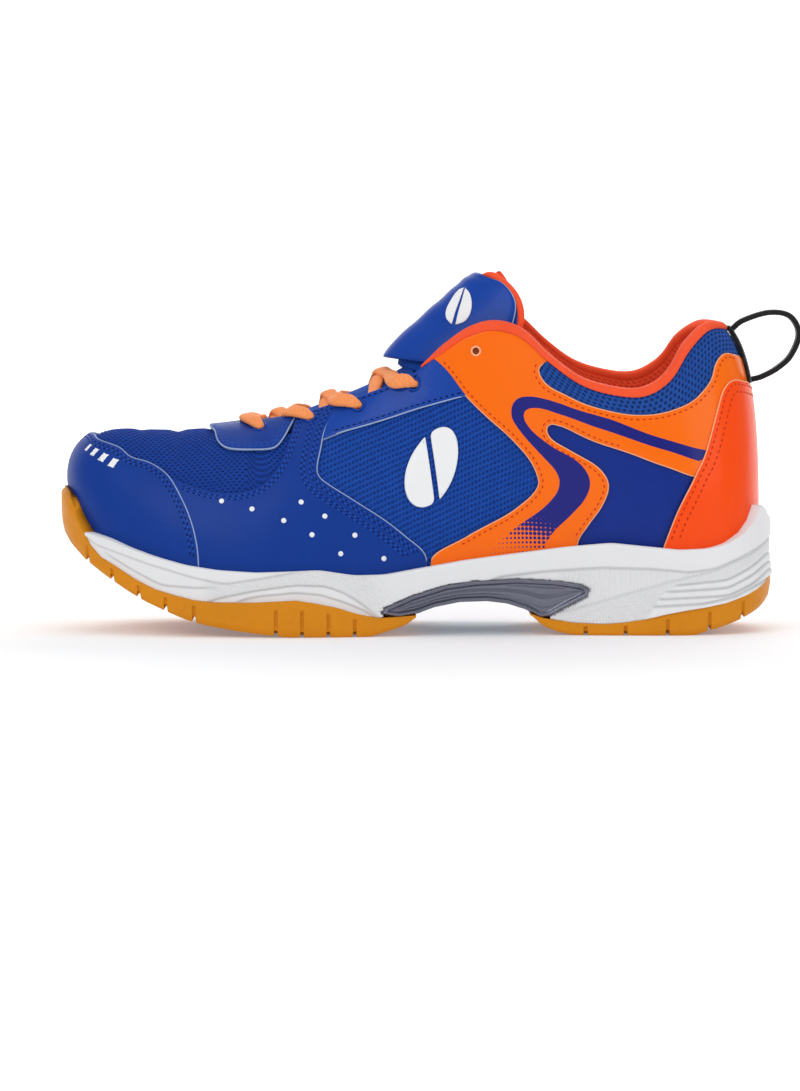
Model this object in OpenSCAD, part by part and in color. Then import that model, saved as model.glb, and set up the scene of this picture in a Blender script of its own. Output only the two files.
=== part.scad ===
// Low-cut indoor court shoe, left foot, EU 42.
// Toe towards -X, heel towards +X, outer (lateral) side towards -Y, sole on z = 0.

/* [Sole] */
// Thickness of the midsole's side wall around the upper
rim_wall = 3.6; // [3.4:0.1:4.2]
// Thickness of the gum tread under the foot
tread_floor = 5; // [4:0.5:5.5]
// Width of the flex grooves
groove_w = 1.4; // [1:0.1:2]
// Depth of the flex grooves under the tread
groove_depth = 2.2; // [1:0.1:2.6]

/* [Upper] */
// Thickness of each synthetic overlay
overlay_t = 1.1; // [0.8:0.1:1.2]
// Thickness of the mesh and side panels
fabric_t = 0.9; // [0.7:0.1:1]
// Thickness of the hidden stiffeners
stiffener_t = 1.1; // [0.9:0.1:1.2]
// Thickness of the lining
lining_t = 0.8; // [0.6:0.1:0.9]

/* [Inside] */
// Thickness of the removable insole
insole_t = 4; // [3:0.5:5]
// Thickness of the lasting board
board_t = 1.2; // [0.8:0.1:1.2]

/* [Lacing] */
// Width of the flat lace
lace_w = 4.6; // [3.5:0.1:5]
// Thickness of the flat lace
lace_t = 2; // [1.4:0.1:2.4]
// Radius of the punched eyelets
eyelet_r = 2.6; // [2:0.1:3]

/* [Heel loop] */
// Width of the heel loop's webbing
loop_w = 9; // [6:0.5:12]
// Thickness of the webbing
loop_t = 2; // [1.4:0.1:2.4]

/* [Hidden] */
gap = 0.1;               // between neighbouring sole pieces
base_out = -0.9;         // depth of the base fabrics' outer face
lining_out = -3.7;       // depth of the lining's outer face
stiffener_out = -2.2;
reach = 200;             // longer than any cut needs
LATERAL = -1;
MEDIAL = 1;

// ---- Smooth curve through rows [t, value, ...] ----
function row_at(t, rows, i = 0) =
  i >= len(rows) - 2 || t < rows[i + 1][0] ? i : row_at(t, rows, i + 1);
function slope_at(rows, i) =
  let (a = rows[max(i - 1, 0)], b = rows[min(i + 1, len(rows) - 1)]) (b - a) / (b[0] - a[0]);
function curve(t, rows) =
  let (
    i = row_at(t, rows), a = rows[i], b = rows[i + 1], h = b[0] - a[0],
    s = min(max((t - a[0]) / h, 0), 1), s2 = s * s, s3 = s2 * s
  )
  a * (2 * s3 - 3 * s2 + 1) + slope_at(rows, i) * h * (s3 - 2 * s2 + s)
  + b * (3 * s2 - 2 * s3) + slope_at(rows, i + 1) * h * (s3 - s2);
function numbered(list) = [for (i = [0:len(list) - 1]) concat([i], list[i])];
function line_z(x, rows) = curve(x, rows)[1];
function unit(v) = v / norm(v);

// ---- Plan of the sole: half outline from toe tip to heel, before the foot's sway ----
half_outline = [
  [-151.5, 0], [-149.5, 12.5], [-143.5, 23.5], [-133, 33.5], [-118, 41.5], [-98, 47.5],
  [-76, 50.5], [-54, 49.5], [-32, 45.5], [-10, 40.5], [12, 37], [36, 35.5], [60, 36.5],
  [84, 39], [104, 39], [122, 33.5], [134, 21], [139.2, 0]
];
outline_end = len(half_outline) - 1;
mirrored_ends = concat(
  [[-1, half_outline[1][0], -half_outline[1][1]]],
  numbered(half_outline),
  [[outline_end + 1, half_outline[outline_end - 1][0], -half_outline[outline_end - 1][1]]]
);
// Sideways sway of the foot's centre line along the shoe
sway_rows = [[-152, 6], [-115, 3.5], [-75, 0.5], [-35, -2], [5, -3.5], [45, -2.5], [90, 0], [140, 1]];
function sway(x) = curve(x, sway_rows)[1];
function outline_at(t) = let (c = curve(t, mirrored_ends)) [c[1], c[2]];
function outline_normal(t) =
  let (d = outline_at(t + 0.05) - outline_at(t - 0.05)) unit([-d[1], d[0]]);
function outline_inset(t, inset) = outline_at(t) - outline_normal(t) * inset;
function swayed(p) = [p[0], p[1] + sway(p[0])];
outline_step = 0.5;
function plan_points(inset) = let (n = outline_end / outline_step) concat(
  [for (i = [0:n]) let (p = outline_inset(i * outline_step, inset)) swayed([p[0], -p[1]])],
  [for (i = [n - 1:-1:1]) swayed(outline_inset(i * outline_step, inset))]
);
module plan_prism(inset) {
  translate([0, 0, -10]) linear_extrude(height = reach) polygon(plan_points(inset));
}
// A solid with the given side view, across the whole width
module side_prism(points) {
  rotate([90, 0, 0]) linear_extrude(height = reach, center = true) polygon(points);
}
module sole_block(inset, points) {
  intersection() {
    plan_prism(inset);
    side_prism(points);
  }
}
function along(rows, x0, x1, step, lift = 0) =
  let (n = ceil(abs(x1 - x0) / step))
  [for (i = [0:n]) let (x = x0 + (x1 - x0) * i / n) [x, line_z(x, rows) + lift]];

// ---- Side view of the sole ----
toe_front = [[-148.6, 58.6], [-150.6, 56.5], [-151.5, 51], [-151.2, 45], [-149.6, 40], [-146.5, 35.6]];
fore_ground = [
  [-146.5, 35.6], [-140, 29.4], [-132, 23.8], [-123.6, 18.5], [-115.4, 13.9], [-107, 10.3],
  [-99, 7], [-90, 4.6], [-78, 2.6], [-66, 1], [-56, 0]
];
fore_flat_end = -24;
fore_tail = [[fore_flat_end, 0], [-17, 2.2], [-10, 4.4], [-5, 8.4]];
gum_fore = [
  [-148.6, 58.6], [-147.4, 54], [-144.1, 46], [-140.8, 40.4], [-138, 35.4], [-133.5, 30.8],
  [-127.7, 27.5], [-119.5, 22.6], [-111.3, 18.7], [-103, 16.4], [-95, 14.6], [-86.7, 13.8],
  [-70, 14], [-54, 14.8], [-45.7, 13.5], [-37.5, 11.8], [-29.3, 9.2], [-21, 7.5]
];
shank_outline = [
  [-20, 9], [-18.4, 11.7], [-7.6, 16.4], [6, 20.5], [17, 22], [34.6, 22.8], [50.2, 22],
  [60.5, 20.5], [63.5, 18.5], [62.5, 15.7], [53.7, 11], [47.6, 7.6], [44, 7.2],
  [38, 10.4], [30.5, 12.8], [22.3, 13.8], [11.5, 13.5], [1.3, 11.5], [-5.5, 9], [-13, 7.8]
];
heel_ground = [
  [39.5, 9], [44.5, 4], [48.6, 2.2], [53, 0.8], [58.8, 0], [106, 0], [112, 1.8], [118, 3.4],
  [124, 5.4], [130, 8], [134.5, 10.6], [138, 14.4], [139.3, 19], [138.9, 23.6]
];
gum_heel = [
  [45, 7], [56.8, 5.1], [69, 4.5], [77.3, 5.1], [85.5, 6.4], [93.7, 8.4], [101.9, 10],
  [110, 11.2], [118.3, 12.8], [126.5, 15.6], [130.6, 17.6], [134.7, 20.2], [138.9, 23.6]
];
rim_line = [
  [-140.8, 40.6], [-132, 38.6], [-122, 34.8], [-111, 31.4], [-99, 28.4], [-86, 26.6],
  [-70, 25.7], [-54, 26.2], [-44, 26.6], [-30, 24.4], [-18, 24.6], [-2, 27.4], [14, 30.2],
  [34, 32.8], [54, 35.4], [72, 37], [86, 35.6], [100, 34.2], [112, 34.6], [120, 36.6],
  [127, 40.6], [131.5, 45.4], [134.5, 51.6], [136.7, 49], [138.2, 42], [139, 30], [138.9, 23.9]
];
bed_line = [
  [-152, 45], [-140, 38.5], [-130, 31.4], [-115, 25.2], [-95, 20.4], [-75, 18], [-50, 17.2],
  [-25, 18], [0, 21.6], [20, 24.8], [50, 26.8], [80, 27.8], [140, 28.2]
];

module outsole_forefoot() {
  color("goldenrod") difference() {
    sole_block(0, concat(toe_front, fore_ground, fore_tail, [[-21, 7.4]],
      [for (i = [len(gum_fore) - 2:-1:1]) gum_fore[i]]));
    sole_block(rim_wall + 1, concat(
      along(fore_ground, -118, -56, 8, tread_floor),
      [[fore_flat_end, tread_floor], [-22, reach], [-118, reach]]));
    foot_recess(rim_wall);
    for (x = [-139, -128.5, -117.5, -106.5, -95]) toe_groove(x);
    for (x = [-62, -51.5, -41, -30.5]) tread_groove(x);
  }
}
// Flex groove across the rising toe
module toe_groove(x) {
  translate([x, 0, line_z(x, fore_ground)]) rotate([0, 38 - (x + 139) * 0.55, 0])
    cube([groove_w, reach, 2 * groove_depth], center = true);
}
module tread_groove(x) {
  for (side = [LATERAL, MEDIAL])
    translate([x - groove_w / 2, side * 48 - 20, -1]) cube([groove_w, 40, groove_depth + 1]);
}
module outsole_heel() {
  color("goldenrod") difference() {
    sole_block(0, concat(heel_ground, [for (i = [len(gum_heel) - 2:-1:0]) gum_heel[i]]));
    for (x = [112, 126]) translate([x, 0, line_z(x, heel_ground)]) rotate([0, -15, 0])
      cube([groove_w, reach, 2 * groove_depth], center = true);
    for (x = [62, 78, 95]) for (side = [LATERAL, MEDIAL])
      translate([x - groove_w / 2, side * 42 - 15, -1]) cube([groove_w, 30, groove_depth + 1]);
  }
}
midsole_underside = concat(
  [for (i = [3:len(gum_fore) - 1]) gum_fore[i] + [0, gap]],
  [[-20.1, 9.1], [-18.6, 11.9], [-7.7, 16.6], [6, 20.7], [17, 22.2], [34.6, 23], [50.2, 22.2],
    [60.6, 20.7], [63.8, 18.5], [62.8, 15.6], [53.9, 10.8], [47.8, 7.3]],
  [for (i = [1:len(gum_heel) - 1]) gum_heel[i] + [0, gap]]
);
module midsole() {
  color("whitesmoke") difference() {
    union() {
      sole_block(0, concat(midsole_underside, [for (i = [len(rim_line) - 2:-1:1]) rim_line[i]]));
      sole_block(rim_wall + 1 + gap, concat(
        along(fore_ground, -117.5, -56, 8, tread_floor + 0.3),
        [[-24.6, tread_floor + 0.3], [-24.6, 13], [-40, 15.5], [-117.5, 24]]));
    }
    foot_recess(rim_wall);
  }
}
// Room for the upper over the foot bed
module foot_recess(inset) {
  sole_block(inset, concat(along(bed_line, -151, 138, 8), [[138, reach], [-151, reach]]));
}
module arch_shank() {
  color("dimgray") sole_block(0.6, shank_outline);
}

// ---- Upper: ribs from the feather edge to the throat and collar ----
// Station: [outline parameter, inset of the feather edge, top x, top y, top z]
stations = numbered([
  [0, 11, -125, 0, 82.6], [0.9, 10.2, -123.5, 0, 82.6], [1.8, 9, -121, 0, 82.6],
  [2.8, 7.8, -116.5, 0, 82.4], [3.7, 7, -109.5, 0, 82.2], [4.5, 6.5, -99, 0, 82.4],
  [5.3, 6.5, -87, 0, 83.4], [6.1, 6.5, -76, 0, 84.8], [6.8, 6.5, -66.5, 9, 86],
  [7.4, 6.5, -54, 13.5, 88.4], [8, 6.5, -40, 16.8, 92.6], [8.6, 6.5, -25, 19.5, 97.6],
  [9.2, 6.5, -10, 22, 104], [9.8, 6.5, 3, 25, 113], [10.3, 6.5, 14, 28, 120.6],
  [10.8, 6.5, 25, 30, 123.6], [11.3, 6.5, 36, 31.5, 120.6], [11.9, 6.5, 47, 32.6, 110.8],
  [12.5, 6.5, 60, 33, 101.6], [13.1, 6.5, 74, 33, 97.4], [13.7, 6.5, 86, 32, 97.2],
  [14.3, 6.5, 96, 29.5, 103.4], [14.9, 6.5, 103.5, 25, 115], [15.6, 6.5, 111.5, 17.5, 123],
  [16.3, 6.5, 118, 9, 124], [17, 6.5, 120.5, 0, 122.6]
]);
last_station = len(stations) - 1;
throat_station = 7;
// Rib shape: [station, rise, bow, reach back, drop], as shares of the rib's height and width
rib_rows = [
  [0, 0.52, 14.6, 1.5, 0], [2, 0.52, 10, 1.05, 0], [4, 0.52, 4.5, 0.68, 0], [7, 0.48, 2.5, 0.58, 0.02],
  [10, 0.42, 1.5, 0.5, 0.1], [13, 0.38, 1.5, 0.5, 0.22], [16, 0.35, 2, 0.55, 0.32],
  [19, 0.35, 2.5, 0.6, 0.35], [21, 0.38, 2, 0.7, 0.3], [23, 0.42, 1, 0.85, 0.18], [25, 0.45, 0.5, 0.95, 0.12]
];
function bezier(a, b, c, d, s) = let (r = 1 - s)
  a * r * r * r + b * 3 * r * r * s + c * 3 * r * s * s + d * s * s * s;
// Point of the upper's outer surface, on the medial side, before the sway
function upper_point(k, v) =
  let (
    st = curve(k, stations), rib = curve(k, rib_rows),
    foot = outline_inset(st[1], st[2]), out = outline_normal(st[1]),
    low = [foot[0], foot[1], line_z(foot[0], bed_line) + board_t + 0.6],
    top = [st[3], k <= throat_station ? 0 : st[4], st[5]],
    h = top[2] - low[2], spread = [low[0] - top[0], low[1] - top[1], 0],
    p1 = low + [out[0] * rib[2], out[1] * rib[2], rib[1] * h],
    p2 = top + spread * rib[3] - [0, 0, rib[4] * h]
  )
  bezier(low, p1, p2, top, v);
function flip(p) = [p[0], -p[1], p[2]];
// True where the two sides of the upper meet: over the toe, the vamp's ridge and the heel
function on_seam(q) =
  q[0] < 0.001 || q[0] > last_station - 0.001 || (q[1] > 0.999 && q[0] < throat_station + 0.001);
// The surface carried on past its own edges, so that every point has a smooth normal
function wide_point(k, v) =
  k < 0 ? flip(wide_point(-k, v))
  : k > last_station ? flip(wide_point(2 * last_station - k, v))
  : v > 1 && k <= throat_station ? flip(upper_point(k, 2 - v))
  : v > 1 ? 2 * upper_point(k, 1) - upper_point(k, 2 - v)
  : v < 0 ? 2 * upper_point(k, 0) - upper_point(k, -v)
  : upper_point(k, v);
function upper_normal(k, v) =
  let (
    e = 0.12, f = 0.06, w = k < 1 ? min(v, 0.93) : v,
    n = cross(wide_point(k + e, w) - wide_point(k - e, w), wide_point(k, w + f) - wide_point(k, w - f)),
    flat = on_seam([k, v]) ? [n[0], 0, n[2]] : n
  )
  unit(-flat);
function placed(p, side) = [p[0], side * p[1] + sway(p[0]), p[2]];
function upper_at(k, v, depth, side) = let (p = upper_point(k, v) + upper_normal(k, v) * depth)
  placed(on_seam([k, v]) ? [p[0], 0, p[2]] : p, side);

// Extra depth of the padding round the collar
function pad(q) = max(0, curve(q[0], [[0, 0], [14.6, 0], [17, 3], [20, 4.5], [23, 4], [25, 3.5]])[1])
  * max(0, curve(q[1], [[0, 0], [0.55, 0], [0.72, 0.6], [0.86, 1], [0.96, 0.7], [1, 0.4]])[1]);
seam = 0.03;             // gap between butted panels, in stations

// A layer of the upper between two depths. shape(s, t) gives [station, share of the rib]
// for s from front to back and t from bottom to top, both 0 to 1.
module panel(shape, across, up, depth0, depth1, sides = [LATERAL, MEDIAL], padding = [0, 0]) {
  both = len(sides) == 2;
  where = [for (i = [0:across]) [for (j = [0:up]) shape(i / across, j / up)]];
  size = (across + 1) * (up + 1);
  points = [
    for (side = sides) for (d = [0, 1]) for (i = [0:across]) for (j = [0:up])
      let (q = where[i][j], depth = (d == 0 ? depth0 : depth1) - padding[d] * pad(q))
      upper_at(q[0], q[1], depth, side)
  ];
  function id(s, d, i, j) = (2 * s + d) * size + i * (up + 1) + j;
  function quad(a, b, c, d, turn) = turn ? [[a, b, d], [b, c, d]] : [[d, b, a], [d, c, b]];
  function open(a, b) = !(both && on_seam(a) && on_seam(b));
  faces = [
    for (s = [0:len(sides) - 1]) let (turn = sides[s] == MEDIAL) each concat(
      [for (i = [0:across - 1]) for (j = [0:up - 1]) each concat(
        quad(id(s, 1, i, j), id(s, 1, i + 1, j), id(s, 1, i + 1, j + 1), id(s, 1, i, j + 1), turn),
        quad(id(s, 0, i, j), id(s, 0, i + 1, j), id(s, 0, i + 1, j + 1), id(s, 0, i, j + 1), !turn)
      )],
      [for (i = [0:across - 1]) each
        quad(id(s, 0, i, 0), id(s, 0, i + 1, 0), id(s, 1, i + 1, 0), id(s, 1, i, 0), turn)],
      [for (i = [0:across - 1]) if (open(where[i][up], where[i + 1][up])) each
        quad(id(s, 1, i, up), id(s, 1, i + 1, up), id(s, 0, i + 1, up), id(s, 0, i, up), turn)],
      [for (j = [0:up - 1]) if (open(where[0][j], where[0][j + 1])) each
        quad(id(s, 1, 0, j), id(s, 1, 0, j + 1), id(s, 0, 0, j + 1), id(s, 0, 0, j), turn)],
      [for (j = [0:up - 1]) if (open(where[across][j], where[across][j + 1])) each
        quad(id(s, 0, across, j), id(s, 0, across, j + 1), id(s, 1, across, j + 1),
          id(s, 1, across, j), turn)]
    )
  ];
  polyhedron(points, faces);
}
// Panel between two stations whose lower and upper edges are curves of the station
function band(k0, k1, low, high, lean = [0, 0], lean_from = 0) = function (s, t)
  let (
    k = k0 + (k1 - k0) * s, a = edge(k, low), b = edge(k, high), v = a + (b - a) * t,
    shift = max(0, v - lean_from) * (lean[0] + (lean[1] - lean[0]) * s)
  ) [k + shift, v];
function edge(k, e) = is_list(e) ? curve(k, e)[1] : e;

// ---- Solid swept through rings of equal, even point count; the second half of each ring runs
// back beside the first ----
module swept(rings) {
  n = len(rings[0]);
  m = len(rings);
  points = [for (r = rings) each r];
  faces = concat(
    [for (i = [0:m - 2]) for (j = [0:n - 1]) let (
      a = i * n + j, b = i * n + (j + 1) % n, c = a + n, d = b + n
    ) each [[a, b, d], [a, d, c]]],
    [for (j = [0:n / 2 - 2]) let (a = j, b = j + 1, c = n - 2 - j, d = n - 1 - j, e = (m - 1) * n)
      each [[c, b, a], [d, c, a], [e + a, e + b, e + c], [e + a, e + c, e + d]]]
  );
  polyhedron(points, faces);
}
// Flat band along a path; each path row is [x, y, z, up x, up y, up z, width, thickness]
module strap(path) {
  swept([for (i = [0:len(path) - 1]) let (
    p = part3(path[i], 0), a = part3(path[max(i - 1, 0)], 0),
    b = part3(path[min(i + 1, len(path) - 1)], 0),
    ahead = unit(b - a), side = unit(cross(ahead, part3(path[i], 3))), up = cross(side, ahead),
    w = side * path[i][6] / 2, t = up * path[i][7] / 2
  ) [p + w + t, p - w + t, p - w - t, p + w - t]]);
}
function part3(row, from) = [row[from], row[from + 1], row[from + 2]];
function smooth_path(rows, per) = let (n = numbered(rows)) [
  for (i = [0:(len(rows) - 1) * per]) let (c = curve(i / per, n)) [for (j = [1:len(c) - 1]) c[j]]
];

// ---- Insides ----
setback = [[7, 0.999], [7.3, 0.86], [7.8, 0.8], [15, 0.8], [15.3, 0.86], [15.7, 0.96], [16, 1], [25, 1]];
function inner_top(k) = k < 7.001 ? 1 : edge(k, setback);
function to_inner_top(k0, k1, low = 0) = function (s, t)
  let (k = k0 + (k1 - k0) * s) [k, low + (inner_top(k) - low) * t];
module lasting_board() {
  color("tan") sole_block(rim_wall + gap, concat(
    along(bed_line, -151, 138, 8, gap), along(bed_line, 138, -151, 8, gap + board_t)));
}
module insole() {
  color("coral") intersection() {
    sole_block(12.6, concat(along(bed_line, -151, 138, 8, board_t + 0.6),
      along(bed_line, 138, -151, 8, board_t + 0.6 + insole_t)));
    translate([7, 0, 0]) plan_prism(11);
  }
}
module toe_puff() {
  color("dimgray") panel(band(0, 4, 0.06, [[0, 0.9], [2.6, 0.7], [4, 0.6]]), 8, 7,
    stiffener_out - stiffener_t, stiffener_out);
}
module heel_counter() {
  color("dimgray") panel(band(19, 25, 0.06, [[19, 0.3], [21, 0.5], [25, 0.54]]), 12, 5,
    stiffener_out - stiffener_t, stiffener_out);
}
module collar_foam() {
  color("gold") panel(band(16, 25, 0.6, [[16, 0.9], [16.6, 0.97], [25, 0.98]]), 18, 5, lining_out + 0.4, stiffener_out,
    padding = [1, 0]);
}
module vamp_lining() {
  color("lightcoral") panel(to_inner_top(0, 9), 18, 7, lining_out - lining_t, lining_out);
}
module quarter_lining() {
  color("coral") panel(to_inner_top(9 + seam, last_station), 32, 8, lining_out - lining_t, lining_out,
    padding = [1, 1]);
}
// Rolled edge round the foot opening
module collar_roll() {
  color("orangered") swept([for (i = [-24:24]) let (
    k = last_station - abs(i) / 24 * (last_station - 13), side = i < 0 ? LATERAL : MEDIAL,
    rise = unit(wide_point(k, 1) - wide_point(k, 0.94)),
    flat_rise = abs(i) == 0 ? [rise[0], 0, rise[2]] : rise,
    depth = lining_out - lining_t - pad([k, 1])
  ) [for (c = [[0.5, 0.5], [0.3, 2], [-0.8, 3], [depth + 1, 3], [depth, 2], [depth, 0.5]])
    placed(upper_point(k, 1) + upper_normal(k, 1) * c[0] + flat_rise * c[1], side)]]);
}

// ---- Base layer of the upper ----
module vamp_mesh() {
  color("mediumblue") panel(to_inner_top(0, 9), 18, 7, base_out - fabric_t, base_out);
}
quarter_end = 16.3;
module quarter_mesh(side) {
  color("royalblue") panel(to_inner_top(9 + seam, quarter_end), 15, 7, base_out - fabric_t, base_out, [side]);
}
collar_low = [
  [16.3, 0.9], [18.5, 0.91], [19.7, 0.9], [20.4, 0.88], [21.2, 0.83], [22, 0.79], [22.6, 0.79],
  [23.4, 0.83], [25, 0.8]
];
module rear_panel(side) {
  color("mediumblue") panel(function (s, t)
    let (k = quarter_end + seam + (last_station - quarter_end - 2 * seam) * s)
    [k, (edge(k, collar_low) - 0.006) * t], 16, 6, base_out - fabric_t, base_out, [side]);
}
module collar_mesh() {
  color("mediumblue") panel(band(quarter_end + seam, last_station, collar_low, 1), 18, 2,
    base_out - fabric_t, base_out + 0.3);
}

// ---- Overlays ----
over_in = -0.4;
over_out = over_in + overlay_t;
eyelets = [[7.62, 0.85], [9.3, 0.89], [10.65, 0.89], [12.2, 0.9], [14.3, 0.9]];
module punched(rows, sides) {
  difference() {
    children();
    for (i = rows) for (side = sides) let (
      q = eyelets[i], n = upper_normal(q[0], q[1]), m = [n[0], side * n[1], n[2]]
    ) translate(upper_at(q[0], q[1], 0, side)) rotate([0, acos(m[2]), atan2(m[1], m[0])])
      cylinder(r = eyelet_r, h = 8, center = true, $fn = 24);
  }
}
module toe_cap() {
  color("blue") panel(band(0, 5.7, 0, [
    [0, 0.7], [1.4, 0.66], [2.6, 0.63], [3.5, 0.65], [4.1, 0.61], [4.9, 0.53], [5.3, 0.4],
    [5.55, 0.24], [5.75, 0.1]
  ]), 19, 8, over_in, over_out);
}
module forefoot_overlay(side) {
  color("blue") punched([1], [side]) panel(function (s, t) let (
    b = band(5.85, 12.2, 0, [
      [5.8, 0.1], [5.9, 0.26], [6.2, 0.45], [6.7, 0.46], [7.3, 0.49], [7.6, 0.54], [7.8, 0.72], [7.95, 0.95],
      [8.1, 0.985], [8.8, 0.985], [8.95, 0.7], [9.1, 0.52], [9.4, 0.47], [10, 0.39], [11.2, 0.26], [12.2, 0.1]
    ], [2.7, 2.7], 0.5)
  ) b(s, t), 36, 7, over_in, over_out, [side]);
}
module throat_overlay() {
  color("blue") punched([0], [LATERAL, MEDIAL]) panel(function (s, t) let (
    k = 5.4 + 2.55 * s,
    low = edge(k, [[5.4, 0.95], [5.8, 0.83], [6.2, 0.75], [6.8, 0.7], [7.4, 0.69], [7.95, 0.72]]),
    v = low + (1 - low) * t
  ) [k + 0.4 * s * t, v], 10, 4, over_in, over_out);
}
module eyestay(side) {
  color("blue") punched([2, 3], [side]) panel(
    band(9.75, 13.55, 0.73, 0.985, [2.5, -2.2], 0.73), 9, 3, over_in, over_out, [side]);
}
overlay_front = [
  [0, 12.4], [0.1, 12.6], [0.17, 14.1], [0.26, 15.5], [0.36, 16.1], [0.45, 15.7], [0.53, 14.9],
  [0.73, 13.6], [1, 13.05]
];
overlay_back = [[0, 17.1], [0.1, 17.15], [0.42, 18], [0.53, 17.9], [0.62, 17], [0.7, 16.5], [1, 16.2]];
module side_overlay(side) {
  color("orangered") punched([4], [side]) panel(function (s, t) let (v = 0.985 * t)
    [edge(v, overlay_front) * (1 - s) + edge(v, overlay_back) * s, v],
    6, 14, over_in, over_out, [side]);
}
module ankle_band(side) {
  color("darkorange") panel(band(16.6, 24.95, [
    [16.6, 0.68], [17.4, 0.71], [18.2, 0.7], [19.6, 0.62], [21.1, 0.45], [22, 0.45], [25, 0.5]
  ], [
    [16.6, 0.885], [18.5, 0.9], [19.7, 0.89], [20.4, 0.87], [21.2, 0.82], [22, 0.78], [22.6, 0.78],
    [23.4, 0.82], [25, 0.79]
  ]), 18, 2, over_in + 0.1, over_out, [side]);
}
module heel_cover() {
  color("orangered") panel(band(19.6, last_station, 0, [
    [19.6, 0.1], [20.2, 0.22], [20.8, 0.35], [21.6, 0.54], [22.2, 0.65], [22.8, 0.69], [25, 0.71]
  ]), 12, 7, over_out + 0.4, over_out + 1.4);
}
module side_emblem(side) {
  color("white") panel(function (s, t) let (w = 2 * s - 1, h = 0.05 + 0.11 * sqrt(1 - w * w * 0.98))
    [12.6 + 1.05 * w, 0.45 + 0.03 * w + h * (2 * t - 1)], 8, 2, -0.45, 0.35, [side]);
}

// ---- Tongue: lies under the eyestays, then rises free out of the opening ----
function crown(k) = curve(k, [[7.4, 2.2], [8.5, 4.4], [10, 5.2], [12.4, 5.6]])[1];
// Point over the opening: w runs -1 to 1 across it, h is the height over the tongue's edge
function over_throat(k, w, h) = let (
  a = upper_at(k, 1, -5, LATERAL), b = upper_at(k, 1, -5, MEDIAL)
) (a + b) / 2 + (b - a) / 2 * w + [-0.28, 0, 0.96] * h;
tongue_end = 11.3;
// Rings across the tongue, between depths a and b below its outer face
function tongue_ring(k, a, b) = let (side_v = 0.87, turn = [-0.28, 0, 0.96]) concat(
  [for (d = [a, b]) let (
    half = concat([for (v = [side_v, 0.93]) upper_at(k, v, -5 - d, LATERAL)],
      [for (w = [-1:0.25:1]) over_throat(k, w, crown(k) * (1 - w * w)) - turn * d * 0.97],
      [for (v = [0.93, side_v]) upper_at(k, v, -5 - d, MEDIAL)])
  ) each (d == a ? half : [for (i = [len(half) - 1:-1:0]) half[i]])]
);
module tongue() {
  color("slateblue") swept([for (k = [7.5:0.38:tongue_end + 0.01]) tongue_ring(k, 0, 3.4)]);
}
module tongue_lining() {
  color("lightcoral") swept([for (k = [7.5:0.38:tongue_end + 0.01]) tongue_ring(k, 3.6, 4.5)]);
}
// Free top: centre x, centre z, edge x, edge half-width, edge z
top_rows = [
  [-10.5, 108.6, 2, 17.5, 103], [-11.5, 117.5, 22, 20.5, 112.5], [-3.8, 127, 34, 21.5, 121.5],
  [3.8, 135.5, 35.5, 21, 130.5], [10.8, 142, 32, 18.5, 138], [16, 145.6, 27.5, 14, 143],
  [20, 147, 23.5, 8.5, 146.4]
];
function top_point(s, w) = let (
  r = curve(s * (len(top_rows) - 1), numbered(top_rows)), q = w * w
) [r[1] + (r[3] - r[1]) * q, r[4] * w, r[2] + (r[5] - r[2]) * q];
function top_normal(s, w) = let (
  e = 0.02, s0 = max(s - e, 0), s1 = min(s + e, 1), w0 = max(w - e, -1), w1 = min(w + e, 1)
) unit(cross(top_point(s1, w) - top_point(s0, w), top_point(s, w1) - top_point(s, w0)));
function top_at(s, w, depth) = let (p = top_point(s, w) - top_normal(s, w) * depth)
  [p[0], p[1] + sway(-10), p[2]];
module free_top(s0, s1, w1, a, b, ns = 10) {
  swept([for (i = [0:ns]) let (s = s0 + (s1 - s0) * i / ns) concat(
    [for (w = [-1:0.2:1]) top_at(s, w * w1, a)], [for (w = [1:-0.2:-1]) top_at(s, w * w1, b)]
  )]);
}
module tongue_top() {
  color("slateblue") free_top(0.02, 1, 1, 0, 3.4);
}
module tongue_top_lining() {
  color("lightcoral") free_top(0.02, 0.98, 0.94, 3.9, 4.7);
}
module tongue_pad() {
  color("blue") free_top(0.15, 0.97, 0.86, -1.2, -0.2);
}

// ---- Lace: straight bar at the front row, then crossed up four rows, ends tucked inside ----
// Rows of a crossing: [way across, height, width]; one strand passes over the other
under_strand = [[-0.62, 4.9], [-0.3, 6.4], [0, 6.7], [0.32, 6.6], [0.6, 6.7]];
over_strand = [[-0.68, 6.2], [-0.36, 9], [0, 9.4], [0.36, 9], [0.68, 8]];
function lace_row(p, up, w = lace_w, t = lace_t) = [p[0], p[1], p[2], up[0], up[1], up[2], w, t];
function side_up(q, side) = let (n = upper_normal(q[0], q[1])) [n[0], side * n[1], n[2]];
function on_side(k, v, depth, side, w = lace_w) =
  lace_row(upper_at(k, v, depth, side), side_up([k, v], side), w);
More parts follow.
